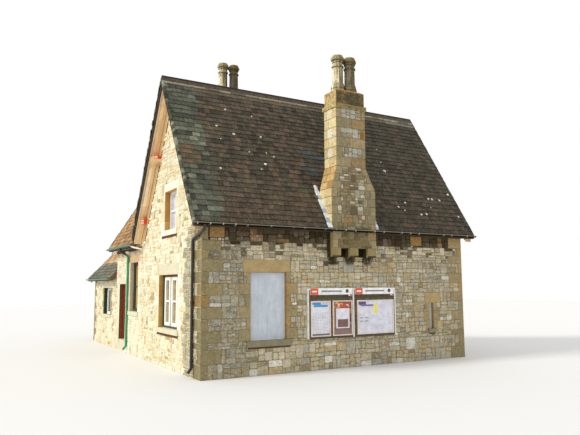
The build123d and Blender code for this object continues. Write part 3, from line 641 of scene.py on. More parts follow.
class Blocks:
    """Blocks gathered into one mesh, each with its own tint."""

    def __init__(self):
        self.points, self.faces, self.tints = [], [], []

    def ring(self, spots, tint):
        start = len(self.points)
        self.points += spots
        self.tints += [tint] * len(spots)
        return list(range(start, start + len(spots)))

    def bridge(self, lower, upper):
        for (a, b), (c, d) in zip(around(lower), around(upper)):
            self.faces.append((a, b, d, c))

    def loft(self, loops, tint, closed=False):
        """Joins loops of points one after another, and the last one with the first if closed."""
        rings = [self.ring(loop, tint) for loop in loops]
        for lower, upper in around(rings) if closed else pairwise(rings):
            self.bridge(lower, upper)
        return rings

    def turned(self, centre, profile, count, tint, start=0.0):
        """A ring shape turned about an upright axis, from (radius, height) pairs round its section."""
        loops = []
        for size, level in profile:
            loops.append([Vector((*spot, level)) for spot in circle(centre, size, count, start)])
        self.loft(loops, tint, closed=True)

    def block(self, face, outline, height, bevel, tint, foot=-0.01, crown=0.0):
        """A block on a face, from foot to height, with its outer edges chamfered."""
        base = self.ring([face.at(u, v, foot) for u, v in outline], scaled(tint, 0.75))
        edge = self.ring([face.at(u, v, height - bevel) for u, v in outline], tint)
        top = self.ring([face.at(u, v, height) for u, v in inset(outline, bevel)], tint)
        self.bridge(base, edge)
        self.bridge(edge, top)
        if crown:
            cu, cv = (sum(values) / len(outline) for values in zip(*outline))
            middle = self.ring([face.at(cu, cv, height + crown)], tint)[0]
            self.faces += [(a, b, middle) for a, b in around(top)]
        else:
            self.faces.append(tuple(top))

    def plate(self, face, area, foot, height, bevel, tint, gap=0.0):
        """A rectangular block, a gap smaller all round than its area."""
        self.block(face, inset(rectangle(area), gap), height, bevel, tint, foot)

    def slab(self, face, outline, height, foot, tint):
        """A thin piece whose top follows height(v)."""
        base = self.ring([face.at(u, v, foot) for u, v in outline], scaled(tint, 0.7))
        top = self.ring([face.at(u, v, height(v)) for u, v in outline], tint)
        self.bridge(base, top)
        self.faces.append(tuple(top))

    def piece(self, name, material, slot, body="building", smooth=False):
        mesh = bpy.data.meshes.new(name)
        mesh.from_pydata([tuple(p) for p in self.points], [], self.faces)
        layer = mesh.color_attributes.new("tint", "FLOAT_COLOR", "POINT")
        layer.data.foreach_set("color", [value for tint in self.tints for value in (*tint, 1.0)])
        mesh.materials.append(material)
        if smooth:
            mesh.polygons.foreach_set("use_smooth", [True] * len(mesh.polygons))
        mesh.update()
        made = bpy.data.objects.new(name, mesh)
        bpy.context.scene.collection.objects.link(made)
        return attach(made, body)


def pick(rng, palette, jitter=0.07):
    """One of the palette's (share, colour) pairs, made a little darker or lighter."""
    at = rng.random() * sum(share for share, _ in palette)
    for share, colour in palette:
        at -= share
        if at <= 0:
            break
    return scaled(colour, 1 + rng.uniform(-jitter, jitter))


# Stone walls

# Tan rubble for the walls in shade; the cream rubble of the sunny sides is paler stone with sunlight painted
# into its tints
tan_rubble = colours((32, 178, 167, 138), (26, 188, 178, 152), (14, 180, 161, 122), (14, 166, 162, 146),
                     (6, 214, 210, 196), (8, 148, 134, 104))
cream_rubble = colours((42, 234, 226, 196), (34, 240, 235, 212), (14, 224, 210, 172), (7, 208, 190, 146),
                       (3, 180, 160, 118))
# Ochre and olive blocks for the walls in shade; the cream blocks of the sunny sides have sunlight painted into
# their tints
ochre_blocks = colours((40, 160, 144, 106), (30, 150, 138, 102), (20, 172, 148, 102), (10, 172, 140, 88))
olive_blocks = colours((40, 144, 132, 96), (30, 136, 126, 92), (20, 152, 136, 94), (10, 158, 130, 82))
cream_blocks = colours((50, 238, 231, 200), (30, 242, 237, 214), (20, 230, 218, 180))
reveal_blocks = colours((60, 214, 168, 98), (40, 198, 148, 82))
# Brown for the shade painted under the corbels and in the recesses between them
painted_shade_brown = srgb(52, 42, 28)
joint = 0.012


def stops(levels, target):
    """Course lines between these levels, about target apart."""
    lines = [levels[0]]
    for low, high in pairwise(levels):
        count = max(1, round((high - low) / target))
        lines += [low + (high - low) * (i + 1) / count for i in range(count)]
    return lines


def coursed(area, lines, rng, wide, single):
    """Squared rubble: each course has some stones of full height, and most in two or three rows."""
    u0, v0, u1, v1 = area
    for low, high in pairwise(lines):
        u = u0 - rng.uniform(0, wide[1])
        while u < u1:
            end = u + rng.uniform(*wide)
            kind = rng.random()
            if kind < single:
                cuts = [0, 1]
            elif kind < single + (1 - single) * 0.6:
                cuts = [0, rng.uniform(0.34, 0.66), 1]
            else:
                cuts = [0, rng.uniform(0.24, 0.4), rng.uniform(0.58, 0.74), 1]
            for a, b in pairwise(cuts):
                ends = [u, end]
                if end - u > 0.24 and rng.random() < 0.6:
                    ends = [u, u + (end - u) * rng.uniform(0.3, 0.7), end]
                for left, right in pairwise(ends):
                    box = (max(left, u0), low + (high - low) * a, min(right, u1), low + (high - low) * b)
                    if box[2] - box[0] > 0.04:
                        yield box
            u = end


def rubble(blocks, face, area, lines, rng, palette, holes=(), sides=(), wide=(0.15, 0.42), single=0.08,
           shade_and_weather=None):
    """Lays coursed rubble over an area, round the holes and inside the sloping sides."""
    for box in coursed(area, lines, rng, wide, single):
        for piece in without(box, holes):
            if piece[2] - piece[0] < 0.045 or piece[3] - piece[1] < 0.035:
                continue
            outline = clip(rectangle(piece), sides)
            if len(outline) < 3 or surface(outline) < 0.002:
                continue
            outline = inset([(u + rng.gauss(0, 0.004), v + rng.gauss(0, 0.004)) for u, v in outline], joint / 2)
            outline = [(u, max(v, 0.002)) for u, v in chipped(outline, rng, 0.04)]
            tint = pick(rng, palette)
            if shade_and_weather:
                tint = shade_and_weather(rng, (piece[0] + piece[2]) / 2, (piece[1] + piece[3]) / 2, tint)
            blocks.block(face, outline, rng.uniform(0.006, 0.024), 0.006, tint, crown=rng.uniform(0, 0.006))


front = Face((0, front_y, 0), (1, 0, 0))
rear = Face((0, rear_y, 0), (-1, 0, 0))
left = Face((left_x, 0, 0), (0, -1, 0))
right = Face((right_x, 0, 0), (0, 1, 0))
wing_right = Face((wing_right_x, 0, 0), (0, 1, 0))
wing_end = Face((0, wing_end_y, 0), (-1, 0, 0))
low_right = Face((low_right_x, 0, 0), (0, 1, 0))
low_end = Face((0, low_end_y, 0), (-1, 0, 0))


def holes_on(face, *names):
    """Rectangles of the solids of these nodes that lie at this face."""
    found = []
    for name in names:
        for low, high in parts(name):
            if -0.4 < ((low + high) / 2 - face.origin).dot(face.out) < 0.1:
                found.append(face.span(low, high))
    return found


class Wall:
    """One face of a wall: its rubble, the dressed stones in it and the holes that the rubble leaves."""

    def __init__(self, face, rng, frames, *dressings, between=(-99, 99), sunny=False):
        self.face, self.rng, self.sunny = face, rng, sunny
        self.stones, self.dressed = Blocks(), Blocks()
        self.openings = [hole for hole in holes_on(face, frames) if between[0] < hole[0] < between[1]]
        self.dressings = holes_on(face, *dressings)
        self.holes = self.openings + self.dressings

    def jambs(self, opening, depth, target, palette, long=0.34, short=0.13, first=0, lining=None, clear=True):
        """Long and short blocks up both sides of an opening, and the stones that line its reveal."""
        u0, v0, u1, v1 = opening
        for number, (low, high) in enumerate(pairwise(stops([v0, v1], target))):
            for side in (0, 1):
                wide = (long if (number + first) % 2 else short) * self.rng.uniform(0.92, 1.08)
                area = (u1, low, u1 + wide, high) if side else (u0 - wide, low, u0, high)
                if clear:
                    self.holes.append(area)
                self.dressed.plate(self.face, area, -0.01, 0.014, 0.006, pick(self.rng, palette, 0.05), 0.005)
                area = (u1 - 0.012, low, u1 + 0.004, high) if side else (u0 - 0.004, low, u0 + 0.012, high)
                tint = pick(self.rng, lining or palette, 0.05)
                self.dressed.plate(self.face, area, -depth, 0.008, 0.003, tint, 0.002)
        area = (u0, v1 - 0.012, u1, v1 + 0.004)
        self.dressed.plate(self.face, area, -depth, 0.0, 0.003, pick(self.rng, lining or palette, 0.05))

    def quoins(self, side, at, lines, palette, long=0.54, short=0.19, first=0):
        """Corner stones, long and short in turn, from the corner's u (at) towards more u (side +1) or less."""
        taken = []
        for number, (low, high) in enumerate(pairwise(lines)):
            odd = (number + first) % 2
            wide = (long if odd else short) * self.rng.uniform(0.92, 1.08)
            deep = 0.24 if odd else 0.5
            area = (at - 0.012, low, at + wide, high) if side > 0 else (at - wide, low, at + 0.012, high)
            taken.append((area, deep))
            self.dressed.plate(self.face, area, -deep, 0.014, 0.008, pick(self.rng, palette, 0.05), 0.005)
        self.holes += [area for area, deep in taken]
        return taken

    def fill(self, area, lines, palette, sides=(), shade_and_weather=None):
        rubble(self.stones, self.face, area, lines, self.rng, palette, self.holes, sides, shade_and_weather=shade_and_weather)

    def pieces(self, name, stones=None):
        stones = stones or (cream_stone if self.sunny else stone)
        self.stones.piece(name + "_stones", stones, "limestone_rubble")
        self.dressed.piece(name + "_quoins", cream_dressed if self.sunny else dressed, "dressed_stone")


def gable_sides(slope, middle, cut):
    """The two sloping edges of a gable as clipping lines, cut below the roof's top plane."""
    top = (middle, (slope.level - cut) / slope.cosine)
    return [(top, (slope.sine, -slope.cosine)), (top, (-slope.sine, -slope.cosine))]


under_frieze = roof_slab + soffit_board + frieze_depth - 0.08
wall_top = 4.06


# Front wall

sill_levels = [0, 0.726, 0.886, 2.667, 2.98]
band_low = 3.46
front_wall = Wall(front, random.Random(11), "front_window_boards", "front_window_dressings")
window, slit = front_wall.openings
front_wall.jambs(window, 0.1, 0.297, ochre_blocks, first=1, lining=colours((1, 176, 136, 84)))
front_wall.jambs(slit, 0.1, 0.27, ochre_blocks, 0.24)
front_wall.holes.append(front.span((stack[0].x, 0, 3.35), (stack[1].x, 0, 9)))
corbels = sorted(front.span(low, high) for low, high in corbel_boxes)
front_wall.holes += corbels
# A dark plate in each recess between the corbels is painted shade
for one, other in pairwise(corbels):
    recess = (one[2], one[1] + 0.02, other[0], 3.36)
    front_wall.holes.append(recess)
    front_wall.dressed.plate(front, recess, -0.01, 0.02, 0.004, scaled(painted_shade_brown, 0.35))
for low_u, low_v, high_u, high_v in front_wall.dressings:
    if high_v < 1:
        shade = (low_u + 0.03, low_v - 0.045, high_u - 0.06, low_v - 0.002)
        front_wall.dressed.plate(front, shade, -0.01, 0.034, 0.004, srgb(84, 66, 40))
corner_lines = stops([*sill_levels, band_low, 3.8], 0.3)
left_quoins = front_wall.quoins(1, left_x, corner_lines, olive_blocks)
right_quoins = front_wall.quoins(-1, right_x, corner_lines, ochre_blocks, first=1)
for area in ((left_x + 0.2, 3.53, left_x + 0.62, 3.84), (2.35, 3.5, 2.8, 3.8)):
    front_wall.holes.append(area)
    front_wall.dressed.plate(front, area, -0.01, 0.018, 0.008, srgb(160, 124, 72), 0.005)


def edge_of_band(u):
    """Height of the lower edge of the dark band under the gutter, damp staining with the eave's shade painted
    in.
    """
    if u < -3.7:
        return 3.56
    return 3.42 if u < 0.9 else 3.45


def front_shade_and_weather(rng, u, v, tint):
    """Painted shade at the corbels, damp stain with painted eave shade under the gutter, mottled below that
    band, and greyer towards the left corner.
    """
    # Painted shade under each corbel and in the recesses between them
    for low_u, low_v, high_u, high_v in corbels:
        if low_u - 0.06 < u < high_u + 0.06 and 2.9 < v < low_v:
            return mixed(tint, painted_shade_brown, rng.uniform(0.6, 0.85))
    if corbels[0][0] < u < corbels[-1][2] and corbels[0][1] < v < 3.36:
        return scaled(painted_shade_brown, 0.6)
    # The band under the gutter is damp staining with the eave's shade painted in
    band = edge_of_band(u) + rng.uniform(-0.05, 0.05)
    if v > band:
        if rng.random() < 0.07:
            return mixed(tint, srgb(118, 84, 44), 0.9)
        return mixed(tint, srgb(60, 45, 25), rng.uniform(0.8, 0.98))
    if v > band - 0.32:
        if rng.random() < 0.24:
            return mixed(tint, srgb(222, 212, 186), 0.7)
        if rng.random() < 0.2:
            return mixed(tint, srgb(84, 70, 48), 0.8)
    if -2.9 < u < 0.9:
        tint = scaled(tint, 1.12)
    if u < -3.1:
        tint = mixed(scaled(tint, 0.84), srgb(132, 132, 120), 0.18)
        if u < -3.95 and 3.0 < v < 3.45:
            tint = mixed(tint, srgb(88, 76, 52), 0.5)
    return tint


front_lines = stops([*sill_levels, band_low, 3.84, wall_top], 0.3)
front_wall.fill((left_x, 0, right_x, wall_top), front_lines, tan_rubble, shade_and_weather=front_shade_and_weather)
front_wall.pieces("front_wall", front_stone)


# Gables of the main block

def gable_shade_and_weather(rng, u, v, tint):
    """Greyer, rougher stones beside the front corner, darkened by a painted shadow."""
    edge = 1.38 if v < 3.5 else 1.38 + (v - 3.5) * 0.9
    # Painted shadow on the stones beside the front corner
    if u > edge + rng.uniform(-0.06, 0.06):
        return mixed(scaled(tint, rng.uniform(0.45, 0.75)), srgb(140, 134, 104), 0.4)
    if v > 5.4:
        return mixed(tint, srgb(206, 184, 140), 0.22)
    return tint


def main_gable(face, name, palette, block_palette, seed, sunny):
    wall = Wall(face, random.Random(seed), "gable_window_frames", "gable_window_dressings", sunny=sunny)
    for opening in wall.openings:
        deep = 0.15 if opening[1] > 3 else 0.12
        wall.jambs(opening, deep, 0.29, block_palette, 0.3, 0.15, 1, reveal_blocks)
        for sill in wall.dressings:
            if opening[1] - 0.01 < sill[3] < opening[1] + 0.01:
                # A dark strip under each sill is its painted shadow
                sill_shadow = (sill[0] + 0.02, sill[1] - 0.07, sill[2] - 0.01, sill[1] - 0.002)
                wall.dressed.plate(face, sill_shadow, -0.01, 0.03, 0.004, srgb(96, 66, 36))
    heights = sorted(height for area in wall.openings + wall.dressings for height in area[1::2])
    reach = -front_y
    for area, deep in left_quoins if sunny else right_quoins:
        ends = (reach - deep, reach + 0.02) if sunny else (-reach - 0.02, -reach + deep)
        wall.holes.append((ends[0], area[1], ends[1], area[3]))
    if not sunny:
        wall.quoins(-1, reach, stops([0, 3.8], 0.3), block_palette)
    lines = stops([0, *dict.fromkeys(round(height, 3) for height in heights), 8.0], 0.24)
    sides = gable_sides(main_slope, 0, under_frieze)
    wall.fill((-reach, 0, reach, 8.1), lines, palette, sides, gable_shade_and_weather if sunny else None)
    wall.pieces(name)


main_gable(left, "left_gable", cream_rubble, cream_blocks, 23, True)
main_gable(right, "right_gable", tan_rubble, ochre_blocks, 29, False)


# Rear wall of the main block, right of the wing

wall = Wall(rear, random.Random(31), "rear_window_frames", "rear_window_dressings")
for opening in wall.openings:
    wall.jambs(opening, 0.12, 0.3, ochre_blocks, first=1)
for number, (low, high) in enumerate(pairwise(stops([0, 3.8], 0.3))):
    area = (-right_x - 0.012, low, -right_x + (0.24 if number % 2 else 0.5), high)
    wall.holes.append(area)
    wall.dressed.plate(rear, area, -0.04, 0.014, 0.008, pick(wall.rng, ochre_blocks, 0.05), 0.005)
wall.fill((-right_x, 0, -wing_right_x, wall_top), stops([*sill_levels, wall_top], 0.3), tan_rubble)
wall.pieces("rear_wall")


# Wing

def wing_shade_and_weather(rng, u, v, tint):
    """Limewash round the door, and the eave's shade painted pink and brown on the stones up under it."""
    if v < 2.62 and -5.1 < u < -4.1:
        return mixed(tint, srgb(250, 248, 240), 0.85)
    # Painted shade of the eave on the stones under it
    if v > 3.2:
        return mixed(tint, srgb(206, 168, 126), rng.uniform(0.2, 0.7))
    return mixed(tint, srgb(244, 236, 220), 0.3)


rng = random.Random(37)
wing_lines = stops([0, 0.4, 1.31, 1.45, 2.385, 2.62, 3.13, 3.365, 3.85], 0.27)
door_hole = left.span(*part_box("door_frame"))
wall = Wall(left, rng, "rear_window_frames", "rear_window_dressings", "door_dressings", sunny=True)
wall.holes.append(door_hole)
for opening in wall.openings:
    if opening[2] > -wing_end_y:
        wall.jambs(opening, 0.12, 0.28, cream_blocks, 0.28, 0.14, 1, colours((1, 226, 206, 186)))
wall.jambs(door_hole, 0.15, 0.4, cream_blocks, 0.2, 0.14, 1, colours((1, 112, 98, 66)), clear=False)
for low_u, high_u in ((door_hole[0] - 0.2, door_hole[0]), (door_hole[2], door_hole[2] + 0.2)):
    wall.holes.append((low_u, 0.4, high_u, door_hole[3]))
wall.fill((-wing_end_y, 0, -rear_y, 3.85), wing_lines, cream_rubble, shade_and_weather=wing_shade_and_weather)
wall.pieces("wing_left_wall")

wall = Wall(wing_right, rng, "rear_window_frames", "rear_window_dressings")
for opening in wall.openings:
    wall.jambs(opening, 0.12, 0.28, ochre_blocks, first=1)
wall.quoins(-1, wing_end_y, stops([0, 3.9], 0.3), ochre_blocks)
wall.fill((rear_y, 0, wing_end_y, 3.85), wing_lines, tan_rubble)
wall.pieces("wing_right_wall")

wall = Wall(wing_end, rng, "rear_window_frames", "rear_window_dressings")
for opening in wall.openings:
    wall.jambs(opening, 0.12, 0.29, ochre_blocks, first=1)
sides = gable_sides(wing_slope, -wing_ridge_x, under_frieze)
lines = stops([0, 0.96, 1.1, 2.638, 2.873, 4.56, 4.7, 5.868, 6.103, 8.0], 0.27)
wall.fill((-wing_right_x, 0, -low_right_x, 8.0), lines, tan_rubble, sides)
low_top = (-low_ridge_x, low_slope.level / low_slope.cosine)
for start, end, sign in ((-low_right_x, -low_ridge_x, -1), (-low_ridge_x, -left_x, 1)):
    above_low_roof = [(low_top, (sign * low_slope.sine, low_slope.cosine))]
    wall.fill((start, 2.5, end, 8.0), lines[8:], tan_rubble, sides + above_low_roof)
wall.pieces("wing_end_wall")


# Low range

rng = random.Random(41)
low_lines = stops([0, 1.09, 1.2, 2.24, 2.42, 2.68], 0.27)
for face, start, end, palette, name in (
    (left, -low_end_y, -wing_end_y, cream_rubble, "low_range_left"),
    (low_right, wing_end_y, low_end_y, tan_rubble, "low_range_right"),
):
    sunny = face is left
    wall = Wall(face, rng, "rear_window_frames", "rear_window_dressings", between=(start, end), sunny=sunny)
    lining = colours((1, 52, 76, 54)) if sunny else None
    for opening in wall.openings:
        wall.jambs(opening, 0.12, 0.28, ochre_blocks, 0.26, 0.14, lining=lining)
    side, corner = (1, start) if sunny else (-1, end)
    wall.quoins(side, corner, stops([0, 2.7], 0.28), ochre_blocks, 0.42, 0.2)
    wall.fill((start, 0, end, 2.72), low_lines, palette)
    wall.pieces(name)
blocks = Blocks()
sides = gable_sides(low_slope, -low_ridge_x, roof_slab + soffit_board + 0.1)
area = (-low_right_x + 0.25, 0, -left_x - 0.25, 4.3)
rubble(blocks, low_end, area, stops([0, 4.3], 0.29), rng, tan_rubble, (), sides)
blocks.piece("low_range_end_stones", stone, "limestone_rubble")


# Roof coverings

gauge = 0.178
tile_width = 0.175
dark_tiles = colours((40, 78, 70, 58), (22, 64, 57, 48), (16, 92, 80, 66), (12, 82, 78, 62), (10, 102, 84, 68))
brown_patch = colours((2, 100, 84, 64), (1, 84, 78, 60))
pale_patch = colours((1, 132, 132, 112), (2, 96, 98, 82), (1, 62, 64, 54))
verge_slates = colours((40, 92, 94, 80), (35, 78, 80, 68), (10, 112, 114, 98), (15, 62, 64, 54))
blue_tiles = colours((1, 84, 89, 88), (1, 72, 77, 76))
orange_tiles = colours((40, 182, 142, 96), (30, 162, 122, 84), (20, 196, 166, 124), (10, 126, 104, 78))
grey_slates = colours((50, 112, 110, 96), (30, 92, 92, 80), (20, 132, 128, 110))
sandy_tiles = colours((50, 196, 164, 120), (30, 176, 140, 98), (20, 212, 186, 146))
blue_repairs = [
    (3.93, 4.40, 2.94, 3.1), (4.0, 4.7, 2.76, 2.94), (4.3, 4.7, 2.58, 2.76),
    (3.68, 3.98, 2.24, 2.4), (3.74, 4.25, 2.06, 2.24), (4.0, 4.4, 1.88, 2.06),
]


def roof_face(direction, slope, ridge, near, far):
    """The face of a slope with u along the eave and v up the slope from the eave's edge."""
    c, s = slope.cosine, slope.sine
    if direction == "front":
        return Face((near, ridge - slope.reach, slope.eave), (1, 0, 0), (0, c, s))
    if direction == "rear":
        return Face((far, ridge + slope.reach, slope.eave), (-1, 0, 0), (0, -c, s))
    if direction == "left":
        return Face((ridge - slope.reach, far, slope.eave), (0, -1, 0), (c, 0, s))
    return Face((ridge + slope.reach, near, slope.eave), (0, 1, 0), (-c, 0, s))


def tiled(name, slot, face, width, length, rng, tint, holes=(), cuts=((),), widths=lambda row, u: None):
    """Courses of tiles up a slope. cuts gives the clipping lines of each part that the slope is cut into."""
    blocks = Blocks()
    for row in range(int(length / gauge) + 1):
        low = row * gauge
        high = min(low + gauge + 0.012, length)
        if high - low < 0.03:
            continue
        u = -rng.uniform(0, tile_width)
        while u < width:
            slate = widths(row, u)
            step = (slate or tile_width) * rng.uniform(0.85, 1.15)
            uneven = 0.012 if slate else 0.005
            drop = rng.uniform(-uneven, uneven)
            box = (max(u, 0), max(low + drop, 0), min(u + step, width), high)
            u += step
            if box[2] - box[0] < 0.02:
                continue
            lift = 0.02 * rng.uniform(0.7, 1.3)
            colour = tint(rng, (box[0] + box[2]) / 2, (box[1] + box[3]) / 2, row)
            for (u0, v0, u1, v1), lines in product(without(box, holes), cuts):
                outline = clip(rectangle((u0 + 0.003, v0, u1 - 0.003, v1)), lines)
                if len(outline) >= 3 and surface(outline) >= 0.0006:
                    blocks.slab(face, outline, lambda v: 0.004 + lift * max(0, 1 - (v - low) / gauge), -0.004,
                                colour)
    blocks.piece(name, roofing, slot)


main_width = main_roof[1].x - main_roof[0].x
rng = random.Random(7)
slate_edge = [0.86 + rng.uniform(-0.14, 0.14) + 0.16 * (row > 23) for row in range(40)]


def front_roof_tint(rng, u, v, row):
    """Slates along the left verge, blue repairs, and tiles that are browner or darker in places."""
    if 2.02 < v < 2.72 and u < slate_edge[row] - 0.2:
        return pick(rng, brown_patch)
    if u < slate_edge[row]:
        if 2.75 < v < 3.35 and 0.3 < u:
            return pick(rng, pale_patch, 0.12)
        return pick(rng, verge_slates, 0.15)
    if any(low_u < u < high_u and low_v < v < high_v for low_u, high_u, low_v, high_v in blue_repairs):
        return pick(rng, blue_tiles)
    tint = pick(rng, dark_tiles, 0.14)
    if v < 1.2 and u < 4:
        tint = mixed(tint, srgb(88, 74, 58), 0.4)
    if u > 5:
        tint = mixed(scaled(tint, 0.78 if v > 2.4 else 0.85), srgb(66, 64, 54), 0.3)
    if v > main_slope.length - 0.4:
        tint = mixed(tint, srgb(112, 104, 86), 0.5)
        if u > 8.2:
            tint = mixed(tint, srgb(128, 130, 112), 0.6)
    return tint


def dark_tint(rng, u, v, row):
    return pick(rng, dark_tiles, 0.12)


def wing_tint(rng, u, v, row):
    return pick(rng, orange_tiles, 0.12)


def low_range_tint(rng, u, v, row):
    """Sandy tiles over a few courses of grey slates at the eave."""
    return pick(rng, grey_slates if v < 0.85 + rng.uniform(-0.1, 0.1) else sandy_tiles, 0.12)


def line(a, b, side):
    """A clipping line through a and b that keeps the left (+1) or right (-1) side."""
    du, dv = b[0] - a[0], b[1] - a[1]
    return (a, (-dv * side, du * side))


rng = random.Random(53)
front_slope = roof_face("front", main_slope, 0, main_roof[0].x, main_roof[1].x)
stack_hole = (stack[0].x - main_roof[0].x, -0.1, stack[1].x - main_roof[0].x,
              (stack[1].y + main_slope.reach) / main_slope.cosine)
tiled("main_front_tiles", "roof_tile", front_slope, main_width, main_slope.length, rng, front_roof_tint,
      [stack_hole], widths=lambda row, u: 0.25 if u < slate_edge[row] else None)

rear_slope = roof_face("rear", main_slope, 0, main_roof[0].x, main_roof[1].x)
wing_half = (wing_slope.level - wing_slope.cosine * main_slope.eave) / wing_slope.sine
meet = (main_slope.level - main_slope.cosine * wing_roof[1].z) / main_slope.sine
apex = (main_roof[1].x - wing_ridge_x, (main_slope.reach - meet) / main_slope.cosine)
foot_near, foot_far = [(main_roof[1].x - (wing_ridge_x + side * wing_half), 0.0) for side in (1, -1)]
tiled("main_rear_tiles", "roof_tile", rear_slope, main_width, main_slope.length, rng, dark_tint,
      cuts=[[line(foot_near, apex, 1)], [line(foot_far, apex, -1), ((apex[0], 0), (1, 0))]])

# On a wing slope the valley runs from the eave's meeting point to the ridge.
for direction, sign, stack_side in (("left", -1, rear_stack[0].x + 0.06), ("right", 1, rear_stack[1].x - 0.06)):
    face = roof_face(direction, wing_slope, wing_ridge_x, 0.0, wing_roof[1].y)
    low_meet, high_meet = [face.span((0, y, 0), (0, y, 0))[0] for y in (main_slope.reach, meet)]
    valley_foot = (low_meet, wing_slope.run_up(main_slope.eave))
    valley_top = (high_meet, wing_slope.length)
    hole = face.span((0, rear_stack[0].y + 0.06, 0), (0, rear_stack[1].y - 0.06, 0))
    hole = (hole[0], wing_slope.length - abs(stack_side - wing_ridge_x) / wing_slope.cosine, hole[2], 99)
    cuts = [[line(valley_foot, valley_top, -sign), ((0, valley_foot[1]), (0, 1))],
            [((low_meet, 0), (sign, 0)), ((0, valley_foot[1]), (0, -1))]]
    tiled("wing_" + direction + "_tiles", "wing_tile", face, wing_roof[1].y, wing_slope.length, rng, wing_tint,
          [hole], cuts)
    face = roof_face(direction, low_slope, low_ridge_x, low_roof[0].y, low_roof[1].y)
    width = low_roof[1].y - low_roof[0].y
    tiled("low_range_" + direction + "_tiles", "wing_tile", face, width, low_slope.length, rng, low_range_tint)


# Front chimney

# Yellow and white blocks go on the chimneys' sunny left faces, with sunlight painted into their tints
yellow_blocks = colours((45, 230, 212, 162), (35, 220, 198, 144), (20, 236, 224, 186))
white_blocks = colours((60, 240, 234, 212), (40, 226, 216, 184))
grey_blocks = colours((50, 174, 170, 156), (30, 190, 186, 172), (20, 154, 144, 118))
buff_blocks = colours((40, 154, 140, 108), (34, 144, 131, 99), (20, 160, 143, 106), (6, 152, 128, 88))
lichen_blocks = colours((40, 202, 168, 108), (35, 212, 182, 128), (25, 184, 142, 84))
mixed_rubble = colours((34, 146, 133, 102), (28, 134, 121, 90), (16, 166, 156, 130), (7, 154, 122, 84),
                       (26, 196, 192, 178), (8, 112, 98, 72))
soiled_rubble = colours((4, 122, 109, 76), (3, 134, 116, 78), (2, 104, 92, 64), (1, 132, 120, 84),
                        (1, 156, 144, 112))
breast_foot = 3.35
gutter_level = 3.82
shoulder_foot = 5.04
shoulder_top = 5.69
shoulder_left, shoulder_right = 0.18, 0.33
shaft_left, shaft_right = stack[0].x + shoulder_left, stack[1].x - shoulder_right
stack_front = Face((0, stack[0].y, 0), (1, 0, 0))


def face_rows(blocks, face, lines, ends, rng, *rows):
    """Rows of blocks across a face, which take turns with (shares, palette). ends gives the face's two sides,
    or a function of the height that does."""
    for number, (low, high) in enumerate(pairwise(lines)):
        a0, a1 = ends(low) if callable(ends) else ends
        b0, b1 = ends(high) if callable(ends) else ends
        shares, palette = rows[number % len(rows)]
        for s0, s1 in pairwise(shares):
            outline = [(a0 + (a1 - a0) * s0, low), (a0 + (a1 - a0) * s1, low),
                       (b0 + (b1 - b0) * s1, high), (b0 + (b1 - b0) * s0, high)]
            outline = chipped(inset(outline, 0.006), rng, 0.015)
            blocks.block(face, outline, rng.uniform(0.010, 0.018), 0.006, pick(rng, palette))


def front_edges(v):
    """The two sides of the chimney's front at a height."""
    share = min(1.0, max(0.0, (v - shoulder_foot) / (shoulder_top - shoulder_foot)))
    return stack[0].x + shoulder_left * share, stack[1].x - shoulder_right * share


def depth_edges(sign, near=stack[0].y, far=stack[1].y):
    return tuple(sorted((sign * near, sign * far)))


rng = random.Random(61)
blocks = Blocks()
shaft_lines = stops([shoulder_top, stack[1].z], 0.278)
for number, (low, high) in enumerate(pairwise(shaft_lines)):
    if number % 2 == 0:
        split = rng.uniform(0.42, 0.56)
        face_rows(blocks, stack_front, [low, high], front_edges, rng, ([0, split, 1], buff_blocks))
    else:
        ends = (rng.uniform(0.14, 0.2), rng.uniform(0.84, 0.9))
        for shares in ([0, ends[0]], [ends[1], 1]):
            face_rows(blocks, stack_front, [low, high], front_edges, rng, (shares, buff_blocks))
        inner = [shaft_left + (shaft_right - shaft_left) * end for end in ends]
        area = (inner[0], low, inner[1], high)
        rubble(blocks, stack_front, area, [low, high], rng, grey_blocks, wide=(0.12, 0.24), single=0.05)
patch = (shaft_right - 0.19, shaft_lines[3] + 0.01, shaft_right - 0.06, shaft_lines[4] - 0.06)
blocks.plate(stack_front, patch, -0.01, 0.03, 0.006, srgb(136, 98, 54))
breast_lines = stops([breast_foot, gutter_level, shoulder_foot, shoulder_top], 0.24)
for number, (low, high) in enumerate(pairwise(breast_lines)):
    wide = 0.2 if number % 2 else 0.12
    for shares in ([0, wide], [1 - wide, 1]):
        face_rows(blocks, stack_front, [low, high], front_edges, rng, (shares, buff_blocks))
    a0, a1 = front_edges((low + high) / 2)
    area = (a0 + (a1 - a0) * wide, low, a1 - (a1 - a0) * wide, high)
    filling = soiled_rubble if low < gutter_level else mixed_rubble
    rubble(blocks, stack_front, area, [low, high], rng, filling, wide=(0.14, 0.32), single=0.2)

